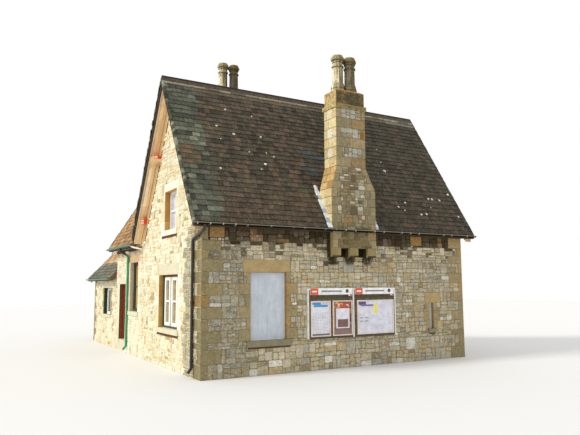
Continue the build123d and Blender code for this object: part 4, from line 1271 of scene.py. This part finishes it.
for face, edges, first, second in (
    (Face((shaft_left, 0, 0), (0, -1, 0)), depth_edges(-1), yellow_blocks, white_blocks),
    (Face((shaft_right, 0, 0), (0, 1, 0)), depth_edges(1), buff_blocks, grey_blocks),
    (Face((0, stack[1].y, 0), (-1, 0, 0)), (-shaft_right, -shaft_left), buff_blocks, grey_blocks),
):
    for number, (low, high) in enumerate(pairwise(shaft_lines)):
        rows = [([0, 0.4, 1], first)]
        if number % 2:
            rows = [([0, 0.25], first), ([0.25, 0.72], second), ([0.72, 1], first)]
        for row in rows:
            face_rows(blocks, face, [low, high], edges, rng, row)
for x, sign, palette in ((stack[0].x, -1, yellow_blocks), (stack[1].x, 1, buff_blocks)):
    face = Face((x, 0, 0), (0, sign, 0))
    face_rows(blocks, face, stops([gutter_level, shoulder_foot], 0.26), depth_edges(sign), rng,
              ([0, 0.4, 1], palette), ([0, 0.62, 1], palette))
    # Below the gutter each side of the breast gets painted shadow on its rear part and painted light on its
    # front edge
    for shares, shade_and_light in (([0, 0.6], colours((1, 64, 54, 36))), ([0.6, 1], colours((1, 168, 152, 98)))):
        if sign > 0:
            shares = [1 - share for share in reversed(shares)]
        ends = depth_edges(sign, front_y, stack[0].y)
        face_rows(blocks, face, stops([breast_foot, gutter_level], 0.26), ends, rng, (shares, shade_and_light))
for x, run, sign, palette in (
    (stack[0].x, shoulder_left, -1, lichen_blocks), (stack[1].x, -shoulder_right, 1, buff_blocks),
):
    rise = shoulder_top - shoulder_foot
    face = Face((x, 0, shoulder_foot), (0, sign, 0), (run, 0, rise))
    face_rows(blocks, face, stops([0, math.hypot(run, rise)], 0.23), depth_edges(sign), rng,
              ([0, 0.55, 1], palette), ([0, 0.4, 1], palette))
blocks.piece("front_chimney_blocks", dressed, "dressed_stone")

blocks = Blocks()
stack_rng = random.Random(67)
near_x, near_y = rear_stack[0].x + 0.06, rear_stack[0].y + 0.06
far_x, far_y = rear_stack[1].x - 0.06, rear_stack[1].y - 0.06
rear_lines = stops([rear_stack[1].z - 2.27, rear_stack[1].z - 0.27], 0.28)
for place, u, ends, palette in (
    ((0, near_y, 0), (1, 0, 0), (near_x, far_x), buff_blocks),
    ((0, far_y, 0), (-1, 0, 0), (-far_x, -near_x), buff_blocks),
    ((near_x, 0, 0), (0, -1, 0), (-far_y, -near_y), yellow_blocks),
    ((far_x, 0, 0), (0, 1, 0), (near_y, far_y), buff_blocks),
):
    rows = ([0, 0.4, 1], palette), ([0, 0.66, 1], palette)
    face_rows(blocks, Face(place, u), rear_lines, ends, stack_rng, *rows)
blocks.piece("rear_chimney_blocks", dressed, "dressed_stone")

# Lead flashing beside the front chimney
blocks = Blocks()
flash_colours = colours((2, 222, 226, 230), (1, 168, 182, 196))
steps = 9
for edge, side, top, wide in ((stack_hole[0], -1, 1.5, 0.14), (stack_hole[2], 1, 0.8, 0.11)):
    for number in range(steps):
        low, high = top * number / steps, top * (number + 1) / steps + 0.02
        out = wide * rng.uniform(0.8, 1.15)
        area = (edge - out, low, edge + 0.005, high) if side < 0 else (edge - 0.005, low, edge + out, high)
        height = 0.036 + 0.004 * (number % 2)
        blocks.plate(front_slope, area, 0.0, height, 0.006, pick(rng, flash_colours), 0.002)
blob = (stack_hole[0] - 0.12, 1.36, stack_hole[0] - 0.03, 1.56)
blocks.block(front_slope, chipped(rectangle(blob), rng, 0.05), 0.05, 0.01, srgb(226, 228, 226), foot=0.0)
blocks.piece("chimney_flashing", lead_shader(), "dark_iron")


# Ridge bedding and lichen

bedding, lichen = Blocks(), Blocks()
mortar_v = main_slope.run_up(max(low.z for low, high in parts("ridge_tiles")))
for slope_face in (front_slope, rear_slope):
    u = 0.0
    while u < main_width:
        end = min(u + rng.uniform(0.3, 0.6), main_width)
        strip = (u, mortar_v - 0.05 + rng.uniform(0.0, 0.02), end, mortar_v + 0.03)
        tint = pick(rng, colours((2, 150, 142, 120), (1, 112, 102, 82)))
        bedding.plate(slope_face, strip, 0.0, 0.04, 0.01, tint)
        u = end
bedding.piece("ridge_bedding", stone, "ridge_tile")

spots = []
for count, low_u, high_u, low_v, high_v in ((12, 7, 9.5, 0.6, 2.9), (12, 1, 3, 1.3, 4.4), (8, 5, 9, 0.5, 4.8)):
    spots += [(rng.uniform(low_u, high_u), rng.uniform(low_v, high_v)) for number in range(count)]
for u, v in spots:
    size = rng.uniform(0.02, 0.05)
    ring = [(u + size * math.cos(math.tau * i / 7) * rng.uniform(0.6, 1.2),
             v + size * math.sin(math.tau * i / 7) * rng.uniform(0.6, 1.2)) for i in range(7)]
    tint = pick(rng, colours((2, 206, 204, 194), (1, 236, 236, 230)))
    lichen.block(front_slope, ring, 0.032, 0.004, tint, foot=0.0)
lichen.piece("roof_lichen", stone, "roof_tile")


# Verges: painted planks under the overhang, lightened with painted light, mouldings and a painted shadow strip
# on the frieze, and slates over the edge

# Plank and edge paints are lightened with painted light, for planks that sit in shade under the overhang
plank_paints = colours((3, 250, 222, 176), (2, 242, 210, 162), (1, 252, 232, 196))
edge_paints = colours((2, 208, 198, 178), (1, 192, 184, 166))
edge_slates = colours((2, 96, 98, 82), (2, 74, 76, 62), (1, 140, 140, 120), (1, 52, 52, 44))


def verge(name, outward, across, wall, ridge, slope, planks, over, past):
    """Planks under both slopes of a gable's overhang, and slates over the outer edge."""
    outward, across = Vector(outward), Vector(across)
    blocks, slates = Blocks(), Blocks()
    level = slope.level - roof_slab - soffit_board
    for side in (1, -1):
        climb = Vector((0, 0, slope.sine)) - across * side * slope.cosine
        reach = slope.reach - 0.05
        place = outward * wall + across * (ridge + side * reach)
        place.z = (level - slope.sine * reach) / slope.cosine
        run = outward if climb.cross(outward).z < 0 else -outward
        face = Face(place, climb, run)
        length = (reach - 0.03) / slope.cosine
        for start, end, paints in planks:
            u = 0.06
            while u < length:
                stop = min(u + rng.uniform(0.9, 1.6), length)
                ends = sorted((start * run.dot(outward), end * run.dot(outward)))
                area = (u + 0.001, ends[0], stop - 0.001, ends[1])
                blocks.plate(face, area, -0.001, 0.012, 0.004, pick(rng, paints, 0.04))
                u = stop
        place = outward * over + across * (ridge + side * slope.reach)
        place.z = slope.eave
        face = Face(place, climb, run if climb.cross(run).z > 0 else -run)
        sign = face.v.dot(outward)
        length = slope.length - 0.02
        u = 0.0
        while u < length:
            stop = min(u + rng.uniform(0.09, 0.17), length)
            ends = sorted((-0.03 * sign, past * rng.uniform(0.3, 1) * sign))
            height, tint = 0.03 * rng.uniform(0.8, 1.1), pick(rng, edge_slates)
            area = (u, ends[0], stop - 0.004, ends[1])
            slates.plate(face, area, -rng.uniform(0.05, 0.09), height, 0.004, tint)
            u = stop
    blocks.piece(name + "_planks", paint, "verge_timber")
    slates.piece(name + "_edge_slates", roofing, "roof_tile")


main_planks = [(0.032, 0.104, plank_paints), (0.11, 0.21, plank_paints), (0.216, 0.264, edge_paints)]
rear_planks = [(0.03, 0.1, plank_paints), (0.106, 0.19, edge_paints)]
verge("left_verge", (-1, 0, 0), (0, 1, 0), -left_x, 0, main_slope, main_planks, -main_roof[0].x, 0.035)
verge("right_verge", (1, 0, 0), (0, 1, 0), right_x, 0, main_slope, main_planks, main_roof[1].x, -0.002)
verge("wing_verge", (0, 1, 0), (1, 0, 0), wing_end_y, wing_ridge_x, wing_slope, rear_planks, wing_roof[1].y,
      0.035)
verge("low_range_verge", (0, 1, 0), (1, 0, 0), low_end_y, low_ridge_x, low_slope, rear_planks, low_roof[1].y,
      -0.002)

# Strips on the gables that follow both slopes, between two levels above the frieze's lower edge; the dark red
# one just under that edge is a painted shadow of the frieze on the wall
blocks = Blocks()
frieze_low = main_slope.level - roof_slab - soffit_board - frieze_depth
for face, (low, high, out, tint), side in product((left, right), (
    (0.2, 0.225, 0.042, srgb(168, 158, 112)), (0.075, 0.1, 0.042, srgb(168, 150, 104)),
    # Painted shadow of the frieze on the wall below it
    (-0.045, 0, 0.022, srgb(112, 62, 42)),
), (1, -1)):
    outline = [(side * across, (frieze_low + level - main_slope.sine * across) / main_slope.cosine)
               for across, level in ((0.02, low), (2.5, low), (2.5, high), (0.02, high))]
    if surface(outline) < 0:
        outline.reverse()
    blocks.block(face, outline, out, 0.003, tint, foot=-0.005)
blocks.piece("frieze_mouldings_and_shadow", paint, "verge_timber")


# Windows: casements, glazing bars and the boarded front window

white_paint = srgb(240, 240, 234)
green_paint = srgb(48, 74, 54)


def casement(blocks, face, area, front_w, tint, stile, rails):
    """A window leaf: two stiles, a top and bottom rail, and bars between them at given heights."""
    u0, v0, u1, v1 = area
    for part in ((u0, v0, u0 + stile, v1), (u1 - stile, v0, u1, v1),
                 (u0 + stile, v1 - stile, u1 - stile, v1), (u0 + stile, v0, u1 - stile, v0 + stile)):
        blocks.plate(face, part, -0.19, front_w, 0.005, tint)
    for height, thick in rails:
        bar = (u0 + stile, height - thick / 2, u1 - stile, height + thick / 2)
        blocks.plate(face, bar, -0.19, front_w - 0.004, 0.004, tint)


blocks = Blocks()
for face, sign in ((left, -1), (right, 1)):
    for u0, v0, u1, v1 in holes_on(face, "gable_window_frames"):
        if v1 > 3:
            continue
        for start, end, stile in ((0.63, 0.13, 0.1), (0.03, -0.48, 0.1), (-0.55, -0.81, 0.06)):
            us = sorted((start * sign, end * sign))
            area = (us[0], v0 + 0.06, us[1], v1 - 0.068)
            casement(blocks, face, area, -0.112, white_paint, stile, [((v0 + v1) / 2, 0.05)])
blocks.piece("gable_casements", paint, "window_paint")

blocks = Blocks()
for face in (left, wing_right, low_right, wing_end, rear):
    for u0, v0, u1, v1 in holes_on(face, "rear_window_frames"):
        tint, stile = (green_paint, 0.028) if face is left and u1 > -wing_end_y else (white_paint, 0.04)
        middle = (u0 + u1) / 2
        rails = [(v0 + (v1 - v0) * 0.5, 0.03)] if v1 - v0 > 1.5 else []
        for a, b in ((u0 + 0.06, middle - 0.03), (middle + 0.03, u1 - 0.06)):
            casement(blocks, face, (a, v0 + 0.06, b, v1 - 0.06), -0.135, tint, stile, rails)
blocks.piece("rear_casements", paint, "window_paint")

blocks = Blocks()
for (u0, v0, u1, v1), count in ((window, 4), (slit, 1)):
    wide = (u1 - u0 - 0.024) / count
    for number in range(count):
        u = u0 + 0.012 + wide * number
        tint = scaled(srgb(198, 207, 216), rng.uniform(0.98, 1.02))
        area = (u + 0.001, v0 + 0.004, u + wide - 0.001, v1 - 0.014)
        blocks.plate(front, area, -0.102, -0.094, 0.002, tint)
    for trim in ((u1 - 0.03, v0, u1 - 0.012, v1 - 0.012), (u0 + 0.012, v0, u1 - 0.012, v0 + 0.02)):
        blocks.plate(front, trim, -0.1, -0.08, 0.003, srgb(236, 238, 238))
blocks.piece("front_window_board_faces", paint, "window_board")


# Side door: boards and a knob that move with the leaf, and the timber lining of its reveal

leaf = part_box("door_leaf")
leaf_face = Face((leaf[0].x, 0, 0), (0, -1, 0))
u0, v0, u1, v1 = leaf_face.span(*leaf)
blocks = Blocks()
board_count = 6
wide = (u1 - u0 - 0.012) / board_count
for number in range(board_count):
    u = u0 + 0.006 + wide * number
    tint = scaled(srgb(158, 78, 48), rng.uniform(0.9, 1.08))
    blocks.plate(leaf_face, (u + 0.002, v0 + 0.006, u + wide - 0.002, v1 - 0.006), -0.002, 0.008, 0.005, tint)
blocks.piece("side_door_boards", paint, "door_paint", "door")

knob = Blocks()
knob_middle = (u1 - 0.06, v0 + 1.02)
profile = [(0.0, 0.034), (0.014, 0.034), (0.016, 0.014), (0.034, 0.012), (0.040, 0.026), (0.052, 0.032),
           (0.064, 0.026), (0.070, 0.010)]
loops = [[leaf_face.at(u, v, out) for u, v in circle(knob_middle, size, 20)] for out, size in profile]
knob.faces.append(tuple(knob.loft(loops, srgb(60, 54, 46))[-1]))
knob.piece("side_door_knob", iron, "dark_iron", "door", smooth=True)

blocks = Blocks()
u0, v0, u1, v1 = door_hole
for area in ((u0 - 0.002, v0, u0 + 0.022, v1), (u1 - 0.022, v0, u1 + 0.002, v1),
             (u0 + 0.022, v1 - 0.022, u1 - 0.022, v1 + 0.002)):
    blocks.plate(left, area, -0.152, -0.06, 0.004, srgb(150, 74, 46))
blocks.piece("side_door_lining", paint, "door_frame_paint")


# A dark strip under the wing's eave, painted as its shade with brown staining, the pipe's white collar and the
# spout that feeds it

blocks = Blocks()
# Painted shade of the wing's eave, with brown staining, on the wall below it
blocks.plate(left, (-wing_end_y, 3.5, -2.75, 3.6), -0.01, 0.04, 0.006, srgb(70, 42, 28))
blocks.piece("wing_eave_shade_and_stain", paint, "verge_timber")

blocks = Blocks()
collar = [(0.04, 3.44), (0.078, 3.45), (0.088, 3.49), (0.078, 3.53), (0.04, 3.54)]
blocks.turned((left_x - 0.065, 4.3), collar, 16, srgb(244, 242, 232))
section = [(0.03 * math.cos(-math.tau * i / 10), 0, 0.03 * math.sin(-math.tau * i / 10)) for i in range(10)]
spout = [(-4.84, 2.98, 3.66), (-4.80, 2.92, 3.60), (-4.72, 2.78, 3.56), (-4.60, 2.66, 3.52),
         (-4.53, 2.61, 3.50)]
loops = [[Vector(place) + Vector(spot) for spot in section] for place in spout]
rings = blocks.loft(loops, srgb(238, 230, 206))
blocks.faces += [tuple(reversed(rings[0])), tuple(rings[-1])]
blocks.piece("wing_pipe_fittings", iron, "green_iron", smooth=True)

# Octagonal rings of the chimney pots: the rim and two at the foot
blocks = Blocks()
spots = [node.co for node in nodes["chimney_pots"].data.vertices]
for low, high in pots:
    middle = (low + high) / 2
    tall = high.z - low.z
    near = [spot for spot in spots
            if low.x - 0.001 < spot.x < high.x + 0.001 and low.y - 0.001 < spot.y < high.y + 0.001]
    wide = (high.x - low.x) / 2 / math.cos(math.pi / 8)
    for share, size, tint in ((0.905, wide, srgb(150, 136, 76)), (0.15, None, srgb(206, 188, 140)),
                              (0.065, None, srgb(198, 178, 130))):
        base = low.z + share * tall
        if size is None:
            level = min(near, key=lambda spot: abs(spot.z - low.z - share * tall)).z
            there = [spot for spot in near if abs(spot.z - level) < 0.001]
            size = max(math.hypot(spot.x - middle.x, spot.y - middle.y) for spot in there) + 0.012
        profile = [(size - 0.05, base), (size - 0.006, base + 0.004), (size, base + 0.012),
                   (size - 0.004, base + 0.03), (size - 0.05, base + 0.04)]
        blocks.turned(middle.xy, profile, 8, tint, 0.5)
blocks.piece("pot_rings", pot_stone, "dressed_stone")


# Notice boards: header faces, case frames and plain printed sheets

def panels(blocks, low, rows):
    """Flat panels on the boards. A row is an area, its height, its colour and perhaps its bevel."""
    for area, high, tint, *bevel in rows:
        blocks.plate(front, area, low, high, *(bevel or [0.0004]), tint)


headers = sorted(front.span(low, high) for low, high in parts("notice_headers"))
cases = sorted(front.span(low, high) for low, high in parts("poster_cases"))
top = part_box("notice_board_frame")[1].z + 0.004
low = top - 0.185
blocks = Blocks()
for u0, v0, u1, v1 in headers:
    u0, u1 = u0 + 0.04, u1 - 0.015
    panels(blocks, 0.0, [((u0, low, u1, top), 0.064, srgb(244, 244, 244), 0.004)])
    panels(blocks, 0.06, [
        ((u0 + 0.004, low + 0.004, u0 + 0.26, top - 0.004), 0.0655, srgb(224, 84, 44), 0.001),
        ((u0 + 0.05, low + 0.07, u0 + 0.21, low + 0.115), 0.0665, srgb(236, 232, 228)),
        ((u0 + 0.36, low + 0.075, u0 + 1.05, low + 0.12), 0.0655, srgb(136, 136, 142)),
        ((u1 - 0.13, low - 0.045, u1 - 0.03, low + 0.02), 0.0652, srgb(240, 240, 240), 0.001),
        ((u1 - 0.09, low - 0.035, u1 - 0.01, low + 0.004), 0.0665, srgb(206, 48, 40)),
    ])
    blocks.block(front, circle((u1 - 0.18, low + 0.1), 0.055, 20), 0.066, 0.0004, srgb(70, 70, 76), foot=0.06)
blocks.piece("header_faces", sheet, "notice_header")

frame_paint = colours((1, 238, 224, 212), (1, 232, 216, 204))
blocks = Blocks()
prints = []
frame_places = ((0.055, 0.018, 0.045), (0.03, 0.018, 0.04), (0.1, 0.035, 0.045))
for (u0, v0, u1, v1), (near, far, wide) in zip(cases, frame_places):
    u0, v0, u1, v1 = u0 + near, v0 + 0.012, u1 - far, v1 - 0.058
    a0, b0, a1, b1 = u0 + wide, v0 + 0.03, u1 - wide * 0.8, v1 - 0.03
    for part in ((u0, v0, a0, v1), (a1, v0, u1, v1), (a0, b1, a1, v1), (a0, v0, a1, b0)):
        blocks.plate(front, part, 0.046, 0.07, 0.004, pick(rng, frame_paint, 0.02))
    prints.append((a0, b0, a1, b1))
blocks.piece("case_frames", sheet, "notice_case")

# The left sheet: a heading over rows of small cells
blocks = Blocks()
u0, v0, u1, v1 = prints[0]
panels(blocks, 0.047, [(prints[0], 0.0505, srgb(226, 226, 233))])
panels(blocks, 0.048, [
    ((u0 + 0.015, v1 - 0.075, u0 + 0.29, v1 - 0.012), 0.0515, srgb(64, 142, 204)),
    ((u0 + 0.06, v1 - 0.14, u1 - 0.05, v1 - 0.075), 0.0518, srgb(74, 150, 208)),
    ((u0 + 0.33, v1 - 0.05, u1 - 0.03, v1 - 0.02), 0.0515, srgb(196, 190, 200)),
    ((u0, v0, u1, v0 + 0.05), 0.0515, srgb(116, 110, 112)),
])
for row, column in product(range(14), range(9)):
    u, v = u0 + 0.02 + column * (u1 - u0 - 0.04) / 9, v0 + 0.08 + row * 0.04
    tint = mixed(srgb(206, 206, 220), srgb(176, 176, 196), rng.random())
    panels(blocks, 0.048, [((u, v, u + 0.035, v + 0.018), 0.0512, tint)])

# The middle sheet: blotches above and beside a pale panel
u0, v0, u1, v1 = prints[1]
panels(blocks, 0.047, [(prints[1], 0.0505, srgb(124, 84, 74))])
for number in range(26):
    u, v = rng.uniform(u0, u1 - 0.12), v1 - 0.18 + rng.uniform(0, 0.12)
    tint = pick(rng, colours((3, 206, 66, 40), (2, 232, 158, 84), (1, 240, 226, 200)))
    area = (u, v, u + rng.uniform(0.04, 0.12), v + rng.uniform(0.03, 0.06))
    panels(blocks, 0.048, [(area, 0.0512 + 0.0001 * number, tint)])
for number in range(16):
    u, v = (u0 if number % 2 else u1 - 0.06), v0 + 0.2 + number // 2 * 0.075
    tint = pick(rng, colours((2, 104, 52, 44), (2, 176, 128, 74), (1, 74, 54, 58)))
    panels(blocks, 0.048, [((u + 0.005, v, u + 0.055, v + 0.06), 0.0515, tint)])
panels(blocks, 0.048, [
    ((u0 + 0.08, v0 + 0.17, u1 - 0.07, v1 - 0.19), 0.055, srgb(228, 228, 236)),
    ((u0 + 0.13, v0 + 0.2, u1 - 0.12, v0 + 0.42), 0.056, srgb(124, 92, 82)),
    ((u0 + 0.02, v0 + 0.01, u1 - 0.02, v0 + 0.14), 0.0518, srgb(140, 112, 108)),
])

# The right sheet: a heading and headings of columns over small marks
u0, v0, u1, v1 = prints[2]
panels(blocks, 0.047, [(prints[2], 0.0505, srgb(222, 222, 234))])
dark_grey, grey = srgb(66, 64, 72), srgb(130, 130, 140)
panels(blocks, 0.048, [
    ((u0 + 0.01, v1 - 0.1, u0 + 0.28, v1 - 0.015), 0.0515, srgb(92, 72, 122)),
    ((u0 + 0.1, v1 - 0.15, u0 + 0.55, v1 - 0.1), 0.0518, srgb(124, 112, 158)),
    ((u0 + 0.56, v0 + 0.55, u0 + 0.68, v1 - 0.08), 0.0525, srgb(238, 228, 84)),
    *(((u0 + u, v0 + v, u0 + u + 0.13, v0 + v + 0.022), 0.0515, tint)
      for v, tint in ((0.79, dark_grey), (0.42, grey), (0.33, grey)) for u in (0.05, 0.22)),
])
for number in range(90):
    u, v = rng.uniform(u0 + 0.03, u1 - 0.08), rng.uniform(v0 + 0.03, v1 - 0.18)
    tint = pick(rng, colours((3, 204, 204, 222), (1, 236, 222, 214), (1, 186, 190, 206)))
    area = (u, v, u + rng.uniform(0.02, 0.07), v + rng.uniform(0.008, 0.02))
    panels(blocks, 0.048, [(area, 0.0507 + 0.000005 * number, tint)])
blocks.piece("poster_sheets", sheet, "notice_case")


# Studio: floor, backdrop and light

def studio_floor():
    half = 60
    mesh = bpy.data.meshes.new("floor")
    corners = [(u, v, 0) for u, v in rectangle((-half, -half, half, half))]
    mesh.from_pydata(corners, [], [(0, 1, 2, 3)])
    floor = bpy.data.objects.new("floor", mesh)
    bpy.context.scene.collection.objects.link(floor)
    floor_paint = bpy.data.materials.new("floor_paint")
    floor_paint.use_nodes = True
    bsdf = floor_paint.node_tree.nodes["Principled BSDF"]
    bsdf.inputs["Base Color"].default_value = (0.82, 0.82, 0.81, 1)
    bsdf.inputs["Roughness"].default_value = 0.9
    mesh.materials.append(floor_paint)
    return floor


def studio_world():
    """White behind the object for rays that see it, and a softer white light on it."""
    world = bpy.data.worlds.new("studio")
    world.use_nodes = True
    tree = world.node_tree
    tree.nodes.clear()
    choose = tree.nodes.new("ShaderNodeMixShader")
    for number, strength in ((1, 0.85), (2, 1.0)):
        light = tree.nodes.new("ShaderNodeBackground")
        light.inputs["Color"].default_value = (1, 1, 1, 1)
        light.inputs["Strength"].default_value = strength
        tree.links.new(light.outputs[0], choose.inputs[number])
    path = tree.nodes.new("ShaderNodeLightPath")
    seen = path.outputs["Is Camera Ray"]
    for kind in ("Is Glossy Ray", "Is Transmission Ray"):
        either = tree.nodes.new("ShaderNodeMath")
        either.operation = "MAXIMUM"
        tree.links.new(seen, either.inputs[0])
        tree.links.new(path.outputs[kind], either.inputs[1])
        seen = either.outputs[0]
    tree.links.new(seen, choose.inputs[0])
    tree.links.new(choose.outputs[0], tree.nodes.new("ShaderNodeOutputWorld").inputs[0])
    return world


def sun():
    light = bpy.data.objects.new("key_light", bpy.data.lights.new("key_light", "SUN"))
    light.data.energy = 1.8
    light.data.angle = math.radians(12)
    light.data.color = (1.0, 0.97, 0.9)
    light.rotation_mode = "QUATERNION"
    light.rotation_quaternion = Vector((-1.0, 0.12, 0.75)).normalized().to_track_quat("Z", "Y")
    bpy.context.scene.collection.objects.link(light)


studio_floor()
bpy.context.scene.world = studio_world()
sun()
bpy.context.scene.view_settings.view_transform = "Standard"


# Materials of the carried-over nodes

ochre_dressing = dressing_shader("ochre_dressing", (168, 148, 104))
finishes = {
    "limestone_rubble": mortar_shader(),
    "dressed_stone": ochre_dressing,
    "floor_stone": dressing_shader("floor_flags", (150, 142, 126)),
    "floor_timber": timber_shader("floor_boards", (128, 98, 66), "x"),
    "roof_tile": bed_shader("roof_bed", (70, 60, 48), (74, 62, 46)),
    "wing_tile": bed_shader("wing_roof_bed", (120, 92, 62), (66, 40, 28)),
    "ridge_tile": ridge_shader(),
    "verge_timber": timber_shader("verge_paint", (222, 184, 130), "y"),
    "purlin_paint": purlin_shader(),
    "dark_iron": metal_shader("black_iron", (38, 37, 34)),
    "green_iron": metal_shader("green_iron_paint", (70, 128, 98)),
    "window_board": timber_shader("board_paint", (196, 206, 216), "z", 0.1),
    "window_paint": timber_shader("joinery_white", (236, 236, 230), "z", 0.15),
    "window_glass": glass_shader(),
    "door_paint": timber_shader("door_brown", (150, 74, 46), "z"),
    "door_frame_paint": timber_shader("frame_paint", (150, 78, 50), "z"),
    "notice_frame": notice_frame_shader(),
    "notice_header": shadow_shader(),
    "notice_case": shadow_shader(),
}
sided_dressing = sided_dressing_shader()
own_finishes = {
    "front_window_dressings": front_dressing_shader(),
    "gable_window_dressings": sided_dressing,
    "rear_window_dressings": sided_dressing,
    "door_dressings": sided_dressing,
    "front_chimney_cap": cap_shader(),
    "front_chimney_corbels": corbel_shader(),
    "front_chimney_stack": dressing_shader("chimney_joints", (138, 124, 94)),
    "chimney_pots": pot_stone,
    "main_gutters": gutter_shader(),
    "gable_window_frames": frame_shader("gable_frame_paint", lambda made: made.z.mask(3.5, 3.4)),
    "rear_window_frames": frame_shader(
        "rear_frame_paint", lambda made: made.x.mask(-4.1, -4.2) * made.y.mask(6.2, 6.1)),
    "wing_downpipe": wing_pipe_shader(),
}
slots = {row["node"]: row["material_slot"] for row in frame["record"]["subparts"]}
for name, node in nodes.items():
    node.data.materials.clear()
    node.data.materials.append(own_finishes.get(name) or finishes[slots[name]])

for name in ("front_window_dressings", "gable_window_dressings", "rear_window_dressings", "door_dressings",
             "front_chimney_corbels", "front_chimney_cap", "rear_chimney_stack"):
    bevel = nodes[name].modifiers.new("worn_edges", "BEVEL")
    bevel.width = 0.012
    bevel.segments = 2
    bevel.limit_method = "ANGLE"
